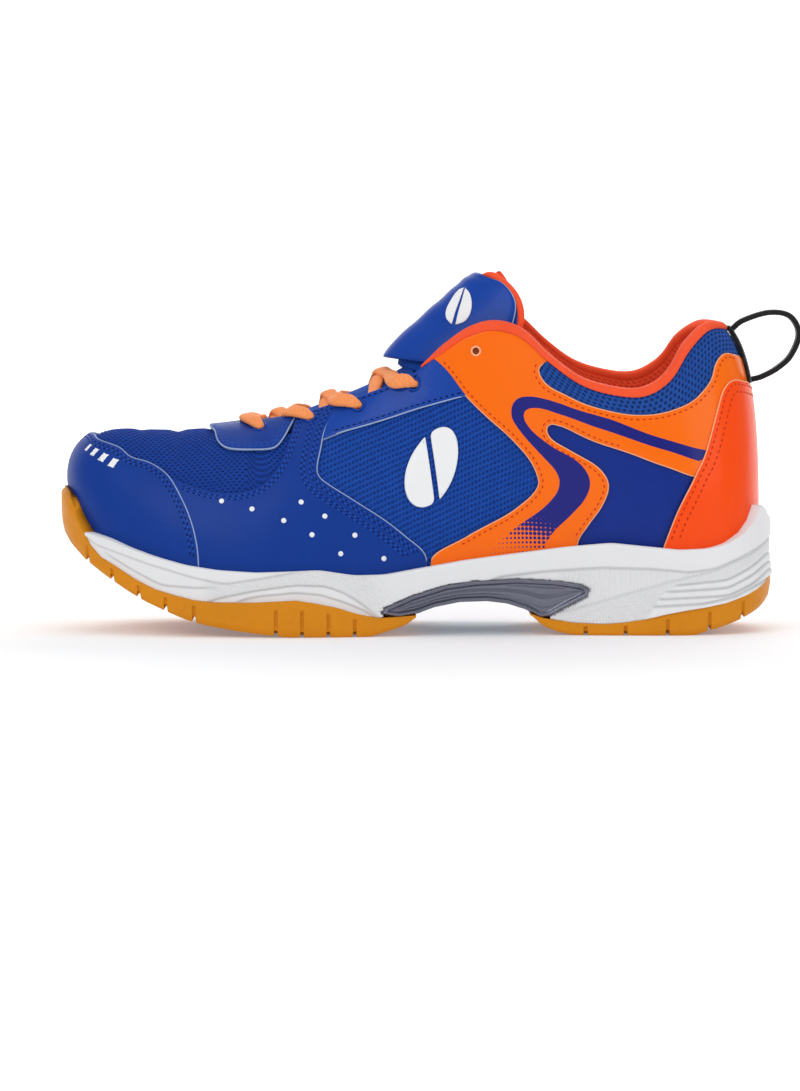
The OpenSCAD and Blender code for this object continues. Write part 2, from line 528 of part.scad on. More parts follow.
// Down through the eyelet and back to the edge of the throat underneath
function through_eyelet(i, side) = let (k = eyelets[i][0], v = eyelets[i][1]) concat(
  [on_side(k, 0.995, 2.6, side), on_side(k, v + 0.055, 2.5, side, 4)],
  [let (p = upper_at(k, v, 1.4, side), b = upper_at(k, v, 1.4, side) - upper_at(k, v - 0.05, 1.4, side))
    lace_row(p, unit(side_up([k, v], side) * 0.6 - unit(b) * 0.8), 3.4, 1.9)],
  [let (p = upper_at(k, v, -0.4, side), b = upper_at(k, v, 0, side) - upper_at(k, v - 0.05, 0, side))
    lace_row(p, -unit(b), 3.2, 1.9)]
);
function crossing(i, from, strand) = let (
  k0 = eyelets[i][0] + 0.3, k1 = eyelets[i + 1][0]
) concat(
  [on_side(k0 - 0.1, eyelets[i][1] + 0.02, -2.3, from, 3.6), on_side(k0 + 0.1, 0.99, -2.5, from, 4.4)],
  [for (c = strand) let (k = k0 + 0.1 + (k1 - k0 - 0.1) * (c[0] + 1) / 2, base = crown(k) - 5.2)
    lace_row(over_throat(k, from * -c[0], c[1] + base), [-0.28, 0, 0.96])]
);
function climb(first) = let (s1 = -first) concat(
  through_eyelet(0, first), crossing(0, first, first == MEDIAL ? over_strand : under_strand),
  through_eyelet(1, s1), crossing(1, s1, first == MEDIAL ? under_strand : over_strand),
  through_eyelet(2, first), crossing(2, first, first == MEDIAL ? over_strand : under_strand),
  through_eyelet(3, s1), tucked_end(s1)
);
// From the last eyelet back under the eyestay, then down inside the shoe
function tucked_end(side) = [
  on_side(12.45, 0.92, -2.5, side, 4), on_side(13, 0.91, -2.7, side), on_side(13.6, 0.91, -2.8, side),
  on_side(14.1, 0.9, -3.2, side), on_side(14.6, 0.87, -5.2, side), on_side(15, 0.81, -6.6, side),
  on_side(15.3, 0.73, -6.6, side), on_side(15.4, 0.64, -6.4, side), on_side(15.1, 0.56, -6.4, side),
  on_side(14.4, 0.52, -6.4, side), on_side(13.5, 0.5, -6.4, side), on_side(12.6, 0.49, -6.4, side)
];
lace_steps = 4;
lace_way = smooth_path(concat(
  [let (e = climb(LATERAL)) each [for (i = [len(e) - 1:-1:0]) e[i]]],
  [lace_row(over_throat(eyelets[0][0], 0, 7.9 + crown(7.6) - 5.2), [-0.28, 0, 0.96])],
  climb(MEDIAL)
), lace_steps);
module lace() {
  color("orange") strap(lace_way);
}
module lace_tips() {
  color("lightgray") for (side = [LATERAL, MEDIAL]) strap([
    on_side(12.5, 0.49, -6.4, side, 2.6), on_side(11, 0.48, -6.4, side, 2.4)
  ]);
}

// ---- Heel loop ----
function heel_at(v, depth) = upper_at(last_station, v, depth, MEDIAL);
loop_low = heel_at(0.745, over_out + 3.6);
loop_high = heel_at(0.975, over_out + 3.6);
loop_centre = [
  loop_high, loop_high + [4.4, 0, 3.4], [138, 0, 129.2], [146.6, 0, 127.8], [150.4, 0, 120.6],
  [147.6, 0, 112.4], [140.6, 0, 107], loop_low + [3.4, 0, 0.2], loop_low
];
loop_widths = [3, 6.4, loop_w, loop_w, loop_w, loop_w, loop_w, 6.4, 3];
module heel_loop() {
  middle = [139, 0, 117];
  color("black") strap(smooth_path([for (i = [0:len(loop_centre) - 1]) let (
    p = [loop_centre[i][0], sway(120), loop_centre[i][2]], u = unit([p[0] - middle[0], 0, p[2] - middle[2]])
  ) [p[0], p[1], p[2], u[0], u[1], u[2], loop_widths[i], loop_t]], 4));
}
module heel_loop_anchor() {
  color("black") panel(band(24.45, last_station, 0.735, 0.985), 3, 4, over_out + 0.3, over_out + 1.3);
}

outsole_forefoot();
outsole_heel();
midsole();
arch_shank();
lasting_board();
insole();
toe_puff();
heel_counter();
vamp_lining();
quarter_lining();
collar_foam();
collar_roll();
vamp_mesh();
quarter_mesh(LATERAL);  // quarter_mesh_lateral
quarter_mesh(MEDIAL);  // quarter_mesh_medial
rear_panel(LATERAL);  // rear_panel_lateral
rear_panel(MEDIAL);  // rear_panel_medial
collar_mesh();
toe_cap();
forefoot_overlay(LATERAL);  // forefoot_overlay_lateral
forefoot_overlay(MEDIAL);  // forefoot_overlay_medial
throat_overlay();
eyestay(LATERAL);  // eyestay_lateral
eyestay(MEDIAL);  // eyestay_medial
side_overlay(LATERAL);  // side_overlay_lateral
side_overlay(MEDIAL);  // side_overlay_medial
ankle_band(LATERAL);  // ankle_band_lateral
ankle_band(MEDIAL);  // ankle_band_medial
heel_cover();
side_emblem(LATERAL);  // side_emblem_lateral
side_emblem(MEDIAL);  // side_emblem_medial
tongue();
tongue_lining();
tongue_top();
tongue_top_lining();
tongue_pad();
lace();
lace_tips();
heel_loop();
heel_loop_anchor();
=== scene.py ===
import math
import bpy
import numpy as np
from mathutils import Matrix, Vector, geometry, kdtree


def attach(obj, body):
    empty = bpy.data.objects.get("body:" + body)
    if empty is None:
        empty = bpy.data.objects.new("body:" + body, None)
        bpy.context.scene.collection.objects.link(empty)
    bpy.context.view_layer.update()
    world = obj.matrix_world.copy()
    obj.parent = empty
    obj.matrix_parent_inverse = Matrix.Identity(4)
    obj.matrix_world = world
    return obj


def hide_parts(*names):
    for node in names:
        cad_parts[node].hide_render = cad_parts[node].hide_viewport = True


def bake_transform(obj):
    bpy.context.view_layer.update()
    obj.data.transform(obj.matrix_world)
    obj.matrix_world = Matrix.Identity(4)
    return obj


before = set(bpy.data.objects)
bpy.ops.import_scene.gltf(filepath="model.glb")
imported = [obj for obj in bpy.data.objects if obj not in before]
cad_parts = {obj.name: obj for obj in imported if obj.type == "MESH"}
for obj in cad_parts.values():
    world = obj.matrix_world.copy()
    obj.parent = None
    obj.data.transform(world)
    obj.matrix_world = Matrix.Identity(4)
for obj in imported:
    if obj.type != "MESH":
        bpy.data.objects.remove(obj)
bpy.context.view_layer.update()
MM = 0.001
LATERAL, MEDIAL = -1, 1


# ---------------------------------------------------------------- shape of the shoe, in mm
def curve(t, rows):
    """Smooth curve through rows [t, value, ...], at each t."""
    rows = np.asarray(rows, float)
    x = rows[:, 0]
    t = np.asarray(t, float)
    last = len(x) - 1
    i = np.clip(np.searchsorted(x, t, side="right") - 1, 0, last - 1)
    before = np.clip(np.arange(last + 1) - 1, 0, None)
    after = np.clip(np.arange(last + 1) + 1, None, last)
    slope = (rows[after] - rows[before]) / (x[after] - x[before])[:, None]
    h = (x[i + 1] - x[i])[..., None]
    s = np.clip((t - x[i])[..., None] / h, 0, 1)
    a = rows[i] * (2 * s**3 - 3 * s**2 + 1) + slope[i] * h * (s**3 - 2 * s**2 + s)
    b = rows[i + 1] * (3 * s**2 - 2 * s**3) + slope[i + 1] * h * (s**3 - s**2)
    return (a + b)[..., 1:]


def value(t, rows):
    return curve(t, rows)[..., 0]


HALF_OUTLINE = [
    [-151.5, 0], [-149.5, 12.5], [-143.5, 23.5], [-133, 33.5], [-118, 41.5], [-98, 47.5],
    [-76, 50.5], [-54, 49.5], [-32, 45.5], [-10, 40.5], [12, 37], [36, 35.5], [60, 36.5],
    [84, 39], [104, 39], [122, 33.5], [134, 21], [139.2, 0],
]
OUTLINE_END = len(HALF_OUTLINE) - 1
MIRRORED = (
    [[-2, HALF_OUTLINE[2][0], -HALF_OUTLINE[2][1]], [-1, HALF_OUTLINE[1][0], -HALF_OUTLINE[1][1]]]
    + [[i] + p for i, p in enumerate(HALF_OUTLINE)]
    + [[OUTLINE_END + 1, HALF_OUTLINE[-2][0], -HALF_OUTLINE[-2][1]],
       [OUTLINE_END + 2, HALF_OUTLINE[-3][0], -HALF_OUTLINE[-3][1]]]
)
SWAY = [[-152, 6], [-115, 3.5], [-75, 0.5], [-35, -2], [5, -3.5], [45, -2.5], [90, 0], [140, 1]]
BED = [
    [-152, 45], [-140, 38.5], [-130, 31.4], [-115, 25.2], [-95, 20.4], [-75, 18], [-50, 17.2],
    [-25, 18], [0, 21.6], [20, 24.8], [50, 26.8], [80, 27.8], [140, 28.2],
]
STATIONS = [[i] + s for i, s in enumerate([
    [0, 11, -125, 0, 82.6], [0.9, 10.2, -123.5, 0, 82.6], [1.8, 9, -121, 0, 82.6],
    [2.8, 7.8, -116.5, 0, 82.4], [3.7, 7, -109.5, 0, 82.2], [4.5, 6.5, -99, 0, 82.4],
    [5.3, 6.5, -87, 0, 83.4], [6.1, 6.5, -76, 0, 84.8], [6.8, 6.5, -66.5, 9, 86],
    [7.4, 6.5, -54, 13.5, 88.4], [8, 6.5, -40, 16.8, 92.6], [8.6, 6.5, -25, 19.5, 97.6],
    [9.2, 6.5, -10, 22, 104], [9.8, 6.5, 3, 25, 113], [10.3, 6.5, 14, 28, 120.6],
    [10.8, 6.5, 25, 30, 123.6], [11.3, 6.5, 36, 31.5, 120.6], [11.9, 6.5, 47, 32.6, 110.8],
    [12.5, 6.5, 60, 33, 101.6], [13.1, 6.5, 74, 33, 97.4], [13.7, 6.5, 86, 32, 97.2],
    [14.3, 6.5, 96, 29.5, 103.4], [14.9, 6.5, 103.5, 25, 115], [15.6, 6.5, 111.5, 17.5, 123],
    [16.3, 6.5, 118, 9, 124], [17, 6.5, 120.5, 0, 122.6],
])]
HEEL = len(STATIONS) - 1
THROAT = 7
RIBS = [
    [0, 0.52, 14.6, 1.5, 0], [2, 0.52, 10, 1.05, 0], [4, 0.52, 4.5, 0.68, 0], [7, 0.48, 2.5, 0.58, 0.02],
    [10, 0.42, 1.5, 0.5, 0.1], [13, 0.38, 1.5, 0.5, 0.22], [16, 0.35, 2, 0.55, 0.32],
    [19, 0.35, 2.5, 0.6, 0.35], [21, 0.38, 2, 0.7, 0.3], [23, 0.42, 1, 0.85, 0.18], [25, 0.45, 0.5, 0.95, 0.12],
]
FOLD_END = 9.2       # last station at which a share above 1 lies across the middle line
FEATHER_LIFT = 1.8   # the upper's lower edge over the foot bed


def unit(v):
    return v / np.maximum(np.linalg.norm(v, axis=-1, keepdims=True), 1e-9)


def sway(x):
    return value(x, SWAY)


def outline(t):
    return curve(t, MIRRORED)


def outline_normal(t):
    d = outline(t + 0.05) - outline(t - 0.05)
    return unit(np.stack([-d[..., 1], d[..., 0]], -1))


def half_surface(k, v):
    st, rib = curve(k, STATIONS), curve(k, RIBS)
    out = outline_normal(st[:, 0])
    foot = outline(st[:, 0]) - out * st[:, 1:2]
    low = np.column_stack([foot, value(foot[:, 0], BED) + FEATHER_LIFT])
    top = st[:, 2:5].copy()
    top[k <= THROAT, 1] = 0
    height = (top - low)[:, 2]
    zero = np.zeros_like(k)
    p1 = low + np.column_stack([out * rib[:, 1:2], rib[:, 0] * height])
    p2 = top + np.column_stack([(low - top)[:, :2], zero]) * rib[:, 2:3]
    p2[:, 2] -= rib[:, 3] * height
    v = v[:, None]
    r = 1 - v
    return low * r**3 + 3 * p1 * r * r * v + 3 * p2 * r * v * v + top * v**3


def folded(k, v, end=THROAT):
    """The same point on the half surface, and the side it is on: 1 as asked, -1 across the seam."""
    k, v = np.array(k, float), np.array(v, float)
    side = np.where(k < 0, -1.0, 1.0)
    k = np.abs(k)
    side = np.where(k > HEEL, -side, side)
    k = np.where(k > HEEL, 2 * HEEL - k, k)
    over = (v > 1) & (k <= end)
    side = np.where(over, -side, side)
    return k, np.where(over, 2 - v, v), side


def wide_surface(k, v):
    k, v, side = folded(k, v)
    above, below = v > 1, v < 0
    p = half_surface(k, np.where(above, 2 - v, np.abs(v)))
    p = np.where(above[:, None], 2 * half_surface(k, np.ones_like(v)) - p, p)
    p = np.where(below[:, None], 2 * half_surface(k, np.zeros_like(v)) - p, p)
    p[:, 1] *= side
    return p


def surface_normal(k, v):
    e, f = 0.12, 0.06
    w = np.where(k < 1, np.minimum(v, 0.93), v)
    return unit(-np.cross(
        wide_surface(k + e, w) - wide_surface(k - e, w), wide_surface(k, w + f) - wide_surface(k, w - f)
    ))


def place(k, v, depth=0.0, side=MEDIAL):
    """Points of the upper in mm, depth outwards from its surface, on one side of the shoe."""
    k, v, flip = folded(np.atleast_1d(k), np.atleast_1d(v), FOLD_END)
    seam = (k < 1e-3) | (k > HEEL - 1e-3) | ((v > 0.999) & (k < THROAT + 1e-3))
    p = wide_surface(k, v)
    n = surface_normal(k, v)
    p = p + n * np.broadcast_to(np.asarray(depth, float), k.shape)[:, None]
    p[seam, 1] = 0
    p[:, 1] = p[:, 1] * flip * side + sway(p[:, 0])
    return p


def place_normal(k, v, side=MEDIAL):
    k, v, flip = folded(np.atleast_1d(k), np.atleast_1d(v), FOLD_END)
    n = surface_normal(k, v)
    n[:, 1] *= flip * side
    return n


def metric(k, v, side=MEDIAL):
    """How the surface moves with k and with v, in mm."""
    e = 0.02
    dk = (place(k + e, v, 0, side) - place(k - e, v, 0, side)) / (2 * e)
    f = 0.005
    dv = (place(k, v + f, 0, side) - place(k, v - f, 0, side)) / (2 * f)
    return dk, dv


# ---------------------------------------------------------------- meshes
def higher_inside(p, most=5.5):
    """The collar's medial side stands a little higher than its lateral side."""
    x, y, z = p.T
    part = 1
    for t in ((x - 5) / 30, (125 - x) / 35, (y - 2) / 28, (z - 50) / 28):
        t = np.clip(t, 0, 1)
        part = part * t * t * (3 - 2 * t)
    return p + np.stack([0 * x, 0 * x, most * part], -1)


def make_object(name, verts, faces, mats, body="shoe", face_mats=None, smooth=True, attrs=None, uv=None):
    mesh = bpy.data.meshes.new(name)
    verts = np.asarray(verts, float)
    if body == "shoe":
        verts = higher_inside(verts)
    mesh.from_pydata((verts * MM).tolist(), [], [list(map(int, f)) for f in faces])
    for m in mats if isinstance(mats, (list, tuple)) else [mats]:
        mesh.materials.append(m)
    if face_mats is not None:
        mesh.polygons.foreach_set("material_index", np.asarray(face_mats, np.int32))
    if smooth:
        mesh.polygons.foreach_set("use_smooth", np.ones(len(mesh.polygons), bool))
    for key, vals in (attrs or {}).items():
        a = mesh.attributes.new(key, "FLOAT", "POINT")
        a.data.foreach_set("value", np.asarray(vals, np.float32))
    if uv is not None:
        layer = mesh.uv_layers.new(name="weave")
        loops = np.zeros(len(mesh.loops), np.int32)
        mesh.loops.foreach_get("vertex_index", loops)
        layer.data.foreach_set("uv", np.asarray(uv, np.float32)[loops].ravel())
    mesh.validate()
    mesh.update()
    obj = bpy.data.objects.new(name, mesh)
    bpy.context.scene.collection.objects.link(obj)
    if body:
        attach(obj, body)
    return obj


def grid_faces(rows, cols, wrap=False, start=0):
    """Quads of a grid of rows x cols points; wrap joins the last column to the first."""
    i, j = np.meshgrid(np.arange(rows - 1), np.arange(cols if wrap else cols - 1), indexing="ij")
    a = i * cols + j
    b = i * cols + (j + 1) % cols
    return (np.stack([a, b, b + cols, a + cols], -1).reshape(-1, 4) + start).tolist()


def smooth_stroke(points, per=12):
    """A smooth line through given points."""
    rows = [[i] + list(p) for i, p in enumerate(points)]
    if len(rows) == 2:
        return curve(np.linspace(0, 1, per + 1), rows)
    return curve(np.linspace(0, len(rows) - 1, (len(rows) - 1) * per + 1), rows)


def resample(points3, spacing, closed=False):
    """Lengths along a polyline from its start, and evenly spaced lengths at about the spacing."""
    step = np.linalg.norm(np.diff(points3, axis=0), axis=1)
    total = np.concatenate([[0], np.cumsum(step)])
    n = max(int(round(total[-1] / spacing)), 2)
    at = np.linspace(0, total[-1], n + 1)
    return total, at


def even_line(kv, side, spacing):
    """The stroke kv resampled to an even spacing in mm on the surface."""
    total, at = resample(place(kv[:, 0], kv[:, 1], 0, side), spacing)
    return np.column_stack([np.interp(at, total, kv[:, 0]), np.interp(at, total, kv[:, 1])])


def closed_loop(strokes, side, spacing):
    parts = [even_line(smooth_stroke(s), side, spacing)[:-1] for s in strokes]
    loop = np.vstack(parts)
    area = np.sum(loop[:, 0] * np.roll(loop[:, 1], -1) - np.roll(loop[:, 0], -1) * loop[:, 1])
    return loop if area > 0 else loop[::-1]


def inward(loop, side, distance):
    """The closed loop moved to its left over the surface by a distance in mm."""
    dk, dv = metric(loop[:, 0], loop[:, 1], side)
    ahead = np.roll(loop, -1, 0) - np.roll(loop, 1, 0)
    along = unit(dk * ahead[:, :1] + dv * ahead[:, 1:])
    normal = unit(np.cross(dk, dv))
    left = np.cross(normal, along)
    left = unit(left + 0.5 * (np.roll(left, 1, 0) + np.roll(left, -1, 0)))
    gkk, gkv, gvv = (dk * dk).sum(1), (dk * dv).sum(1), (dv * dv).sum(1)
    bk, bv = (left * dk).sum(1), (left * dv).sum(1)
    det = np.maximum(gkk * gvv - gkv**2, 1e-6)
    return loop + distance * np.column_stack([(bk * gvv - bv * gkv) / det, (bv * gkk - bk * gkv) / det])


def inside(points, loop):
    x, y = points[:, 0][:, None], points[:, 1][:, None]
    x0, y0 = loop[:, 0][None], loop[:, 1][None]
    x1, y1 = np.roll(loop[:, 0], -1)[None], np.roll(loop[:, 1], -1)[None]
    crossing = ((y0 > y) != (y1 > y)) & (x < (x1 - x0) * (y - y0) / (y1 - y0 + 1e-12) + x0)
    return crossing.sum(1) % 2 == 1


SCALE_K, SCALE_V = 12.0, 85.0    # rough mm per station and per rib, for triangulation and weave


def panel(name, strokes, mats, side=MEDIAL, base=-0.5, thick=1.2, spacing=1.9, soft=0.45, holes=(),
          hole_r=2.4, body="shoe", relief=None, attrs=None, cut_mat=0):
    """A trimmed sheet of the upper with rounded edges. relief(k, v, points) adds height in mm."""
    loops = [closed_loop(strokes, side, spacing * 0.8)]
    for hk, hv in holes:
        angle = np.linspace(0, 2 * np.pi, 20, endpoint=False)
        dk, dv = metric(np.array([hk]), np.array([hv]), side)
        lk, lv = np.linalg.norm(dk), np.linalg.norm(dv)
        loops.append(np.column_stack([hk + hole_r / lk * np.cos(-angle), hv + hole_r / lv * np.sin(-angle)]))
    profile = [(0, -0.25), (0.02, 0.5), (0.3 * soft, 0.84), (soft, 0.97), (2.2 * soft, 1.0)]
    verts, heights, faces, face_mats = [], [], [], []
    inner, count = [], 0
    for loop in loops:
        n = len(loop)
        for r, (d, h) in enumerate(profile):
            verts.append(inward(loop, side, d) if d else loop)
            heights.append(np.full(n, h))
        ring = grid_faces(len(profile), n, True, count)
        faces += ring
        face_mats += [cut_mat] * (2 * n) + [0] * (len(ring) - 2 * n)
        inner.append((count + (len(profile) - 1) * n, n))
        count += n * len(profile)
    kv = np.vstack(verts)
    edge_loops = [kv[s:s + n] for s, n in inner]
    k_all = np.arange(edge_loops[0][:, 0].min(), edge_loops[0][:, 0].max(), spacing / SCALE_K)
    v_all = np.arange(edge_loops[0][:, 1].min(), edge_loops[0][:, 1].max(), spacing / SCALE_V)
    cloud = np.array([(a + (j % 2) * 0.5 * spacing / SCALE_K, b) for j, b in enumerate(v_all) for a in k_all])
    keep = inside(cloud, edge_loops[0])
    for e in edge_loops[1:]:
        keep &= ~inside(cloud, e)
    cloud = cloud[keep]
    tree = kdtree.KDTree(sum(len(e) for e in edge_loops))
    i = 0
    for e in edge_loops:
        for p in place(e[:, 0], e[:, 1], 0, side):
            tree.insert(p, i)
            i += 1
    tree.balance()
    if len(cloud):
        far = np.array([tree.find(p)[2] > 0.62 * spacing for p in place(cloud[:, 0], cloud[:, 1], 0, side)])
        cloud = cloud[far]
    flat = np.vstack(edge_loops + [cloud])
    ids = np.concatenate([np.arange(s, s + n) for s, n in inner] + [np.arange(count, count + len(cloud))])
    edges, start = [], 0
    for e in edge_loops:
        edges += [(start + a, start + (a + 1) % len(e)) for a in range(len(e))]
        start += len(e)
    result = geometry.delaunay_2d_cdt(
        [Vector((p[0] * SCALE_K, p[1] * SCALE_V)) for p in flat], edges, [], 0, 1e-7, True)
    origin = [o[0] if o else -1 for o in result[3]]
    tri = np.array([[origin[a] for a in f] for f in result[2] if len(f) == 3 and all(origin[a] >= 0 for a in f)])
    middle = flat[tri].mean(1)
    ok = inside(middle, edge_loops[0])
    for e in edge_loops[1:]:
        ok &= ~inside(middle, e)
    tri = ids[tri[ok]]
    kv = np.vstack([kv, cloud])
    h = np.concatenate(heights + [np.ones(len(cloud))])
    k, v = kv[:, 0], kv[:, 1]
    ground = place(k, v, 0, side)
    extra = relief(k, v, ground) * np.clip((h - 0.9) * 12, 0, 1) if relief else 0
    top = place(k, v, base + thick * h + extra, side)
    n_top = len(top)
    under = place(k, v, base - 0.25 * thick, side)
    rim = np.concatenate([np.arange(s - n * (len(profile) - 1), s - n * (len(profile) - 2)) for s, n in inner])
    swap = np.arange(n_top) + n_top
    swap[rim] = rim
    flat_under = [[swap[a] for a in f[::-1]] for f in list(tri) + [f for f in faces[:]]]
    faces = faces + tri.tolist()
    face_mats += [0] * len(tri)
    verts3 = np.vstack([top, under])
    faces_all = faces + flat_under
    face_mats += [0] * len(flat_under)
    a, b, c = (verts3[[f[i] for f in tri]] for i in range(3))
    if (np.cross(b - a, c - a) * place_normal(kv[tri[:, 0], 0], kv[tri[:, 0], 1], side)).sum() < 0:
        faces_all = [f[::-1] for f in faces_all]
    uv = np.column_stack([np.tile(k, 2) * SCALE_K, np.tile(v, 2) * SCALE_V]) / 10
    extra_attrs = {key: np.tile(fn(k, v, ground), 2) for key, fn in (attrs or {}).items()}
    return make_object(name, verts3, faces_all, mats, body, face_mats, True, extra_attrs, uv)


# ---------------------------------------------------------------- materials
def srgb(r, g, b):
    return [((c / 255 + 0.055) / 1.055) ** 2.4 if c > 10 else c / 255 / 12.92 for c in (r, g, b)] + [1]


class Finish:
    """A procedural material. Lengths are real: object coordinates in metres, weave coordinates in cm."""

    def __init__(self, name, colour, rough=0.5, metal=0.0, coat=0.0, sheen=0.0, vary=0.07, patch=60.0,
                 shine=0.3):
        self.m = bpy.data.materials.new(name)
        self.m.use_nodes = True
        self.nodes, self.link = self.m.node_tree.nodes, self.m.node_tree.links.new
        self.bsdf = self.nodes["Principled BSDF"]
        for key, val in (("Roughness", rough), ("Metallic", metal), ("Coat Weight", coat),
                         ("Coat Roughness", 0.08), ("Sheen Weight", sheen), ("Sheen Roughness", 0.4),
                         ("Specular IOR Level", shine)):
            self.bsdf.inputs[key].default_value = val
        self.where = self.nodes.new("ShaderNodeTexCoord")
        self.normal = None
        dark = [c * (1 - vary) for c in colour[:3]] + [1]
        light = [min(c * (1 + vary), 1) for c in colour[:3]] + [1]
        self.colour = self.mix(self.noise(patch), dark, light)
        rough_noise = self.noise(patch * 6)
        spread = self.nodes.new("ShaderNodeMapRange")
        spread.inputs["To Min"].default_value = max(rough - 0.05, 0)
        spread.inputs["To Max"].default_value = min(rough + 0.06, 1)
        self.link(rough_noise, spread.inputs["Value"])
        self.link(spread.outputs["Result"], self.bsdf.inputs["Roughness"])

    def noise(self, scale, detail=3, stretch=None):
        n = self.nodes.new("ShaderNodeTexNoise")
        n.inputs["Scale"].default_value = scale
        n.inputs["Detail"].default_value = detail
        source = self.where.outputs["Object"]
        if stretch:
            s = self.nodes.new("ShaderNodeMapping")
            s.inputs["Scale"].default_value = stretch
            self.link(source, s.inputs["Vector"])
            source = s.outputs["Vector"]
        self.link(source, n.inputs["Vector"])
        return n.outputs["Fac"]

    def voronoi(self, scale, random=1.0, uv=False, output="Distance"):
        n = self.nodes.new("ShaderNodeTexVoronoi")
        n.inputs["Scale"].default_value = scale
        n.inputs["Randomness"].default_value = random
        self.link(self.where.outputs["UV" if uv else "Object"], n.inputs["Vector"])
        return n.outputs[output]

    def attr(self, name):
        n = self.nodes.new("ShaderNodeAttribute")
        n.attribute_name = name
        return n.outputs["Fac"]

    def math(self, how, a, b=0.0, clamp=False):
        n = self.nodes.new("ShaderNodeMath")
        n.operation, n.use_clamp = how, clamp
        for socket, val in zip(n.inputs, (a, b)):
            if isinstance(val, (int, float)):
                socket.default_value = val
            else:
                self.link(val, socket)
        return n.outputs[0]

    def mix(self, fac, a, b):
        n = self.nodes.new("ShaderNodeMix")
        n.data_type = "RGBA"
        for socket, val in ((n.inputs[0], fac), (n.inputs[6], a), (n.inputs[7], b)):
            if isinstance(val, (int, float, list)):
                socket.default_value = val
            else:
                self.link(val, socket)
        return n.outputs[2]

    def tint(self, fac, colour):
        self.colour = self.mix(fac, self.colour, colour)
        return self

    def bump(self, height, mm, strength=0.6):
        n = self.nodes.new("ShaderNodeBump")
        n.inputs["Strength"].default_value = strength
        n.inputs["Distance"].default_value = mm * MM
        self.link(height, n.inputs["Height"])
        if self.normal:
            self.link(self.normal, n.inputs["Normal"])
        self.normal = n.outputs["Normal"]
        return self

    def done(self):
        self.link(self.colour, self.bsdf.inputs["Base Color"])
        if self.normal:
            self.link(self.normal, self.bsdf.inputs["Normal"])
        return self.m


def leather(name, colour, rough=0.42, coat=0.06):
    f = Finish(name, colour, rough, coat=coat, vary=0.08, patch=90, shine=0.16)
    pebble = f.voronoi(1100)
    f.bump(pebble, 0.12, 0.35).bump(f.noise(5200, 4), 0.05, 0.3).bump(f.noise(140), 0.5, 0.18)
    return f.done()


def cloth(name, colour, pit, rough=0.75, sheen=0.06, strength=0.8):
    """Woven or knitted: pit (per vertex, 0 to 1) is the open part of each cell, darkened towards the colour pit as
    painted shade in the holes.
    """
    f = Finish(name, colour, rough, sheen=sheen, vary=0.14, patch=220, shine=0.12)
    # painted shade: the open cells take the pit colour
    f.tint(f.math("MULTIPLY", f.attr("pit"), strength), pit)
    f.bump(f.noise(3800, 4, (1, 2.6, 1)), 0.12, 0.5).bump(f.voronoi(2600), 0.1, 0.35)
    return f.done()


blue_leather = leather("blue_leather", srgb(4, 54, 143), 0.42, 0.02)
blue_smooth = leather("blue_smooth_leather", srgb(12, 64, 160), 0.32, 0.05)
window_leather = leather("window_leather", srgb(10, 44, 136), 0.34, 0.04)
pale_edge = Finish("cut_edge", srgb(150, 170, 205), 0.7, vary=0.12, patch=400).done()
orange_edge = Finish("orange_cut_edge", srgb(255, 176, 132), 0.55, vary=0.1, patch=400).done()
# the second colour of each cloth is painted shade in its open cells
vamp_cloth = cloth("air_mesh", srgb(20, 64, 156), srgb(4, 18, 62))
knit_cloth = cloth("side_knit", srgb(24, 74, 168), srgb(6, 22, 72))
diamond_cloth = cloth("collar_mesh", srgb(34, 80, 164), srgb(8, 20, 60))
lining_cloth = cloth("coral_lining", srgb(250, 84, 48), srgb(170, 36, 16), 0.8)
binding_cloth = cloth("coral_binding", srgb(255, 88, 50), srgb(200, 52, 24), 0.75)
thread_blue = Finish("blue_thread", srgb(22, 78, 178), 0.5, vary=0.15, patch=900, shine=0.2).done()
# dark beads along the blue seams: painted shade of the seam grooves
seam_shadow = Finish("painted_seam_shade", srgb(6, 22, 74), 0.7, vary=0.2, patch=900, shine=0.1).done()
# orange stitches darker than the film: painted shade of the needle holes
shaded_orange_stitch = Finish("orange_stitch_shade", srgb(206, 52, 0), 0.5, vary=0.15, patch=900, shine=0.2).done()


def white_print():
    f = Finish("white_print", srgb(240, 241, 243), 0.4, vary=0.03)
    return f.bump(f.noise(1500), 0.05, 0.4).done()


white_ink = white_print()


def glossy_orange():
    f = Finish("orange_film", srgb(255, 110, 0), 0.24, coat=0.12, vary=0.05, patch=50, shine=0.15)
    grid = f.voronoi(6.4, 0.0, uv=True)
    edge = f.math("SUBTRACT", f.attr("print"), 0.0)
    full = f.math("ADD", f.math("MULTIPLY", f.math("SUBTRACT", 1.0, f.attr("fade")), 0.62), 0.1)
    dots = f.math("LESS_THAN", grid, full)
    solid = f.math("LESS_THAN", f.attr("fade"), 0.02)
    mask = f.math("MULTIPLY", f.math("MAXIMUM", dots, solid), f.math("GREATER_THAN", edge, 0.0))
    f.tint(mask, srgb(26, 30, 122))
    f.bump(f.noise(160), 0.5, 0.2).bump(f.noise(2600, 3), 0.03, 0.3)
    return f.done()


orange_film = glossy_orange()


def heel_film():
    f = Finish("heel_film", srgb(255, 76, 0), 0.3, coat=0.1, vary=0.05, patch=50, shine=0.15)
    return f.bump(f.noise(140), 0.6, 0.25).bump(f.noise(2600, 3), 0.03, 0.3).done()


heel_orange = heel_film()


def gum_rubber():
    f = Finish("gum_rubber", srgb(220, 140, 14), 0.46, vary=0.1, patch=35, shine=0.2)
    f.bsdf.inputs["Subsurface Weight"].default_value = 0.05
    f.bsdf.inputs["Subsurface Radius"].default_value = (0.004, 0.002, 0.001)
    f.tint(f.math("MULTIPLY", f.noise(420, 4), 0.22), srgb(172, 96, 8))
    return f.bump(f.noise(1900, 4), 0.08, 0.35).bump(f.noise(260), 0.4, 0.15).done()


gum = gum_rubber()


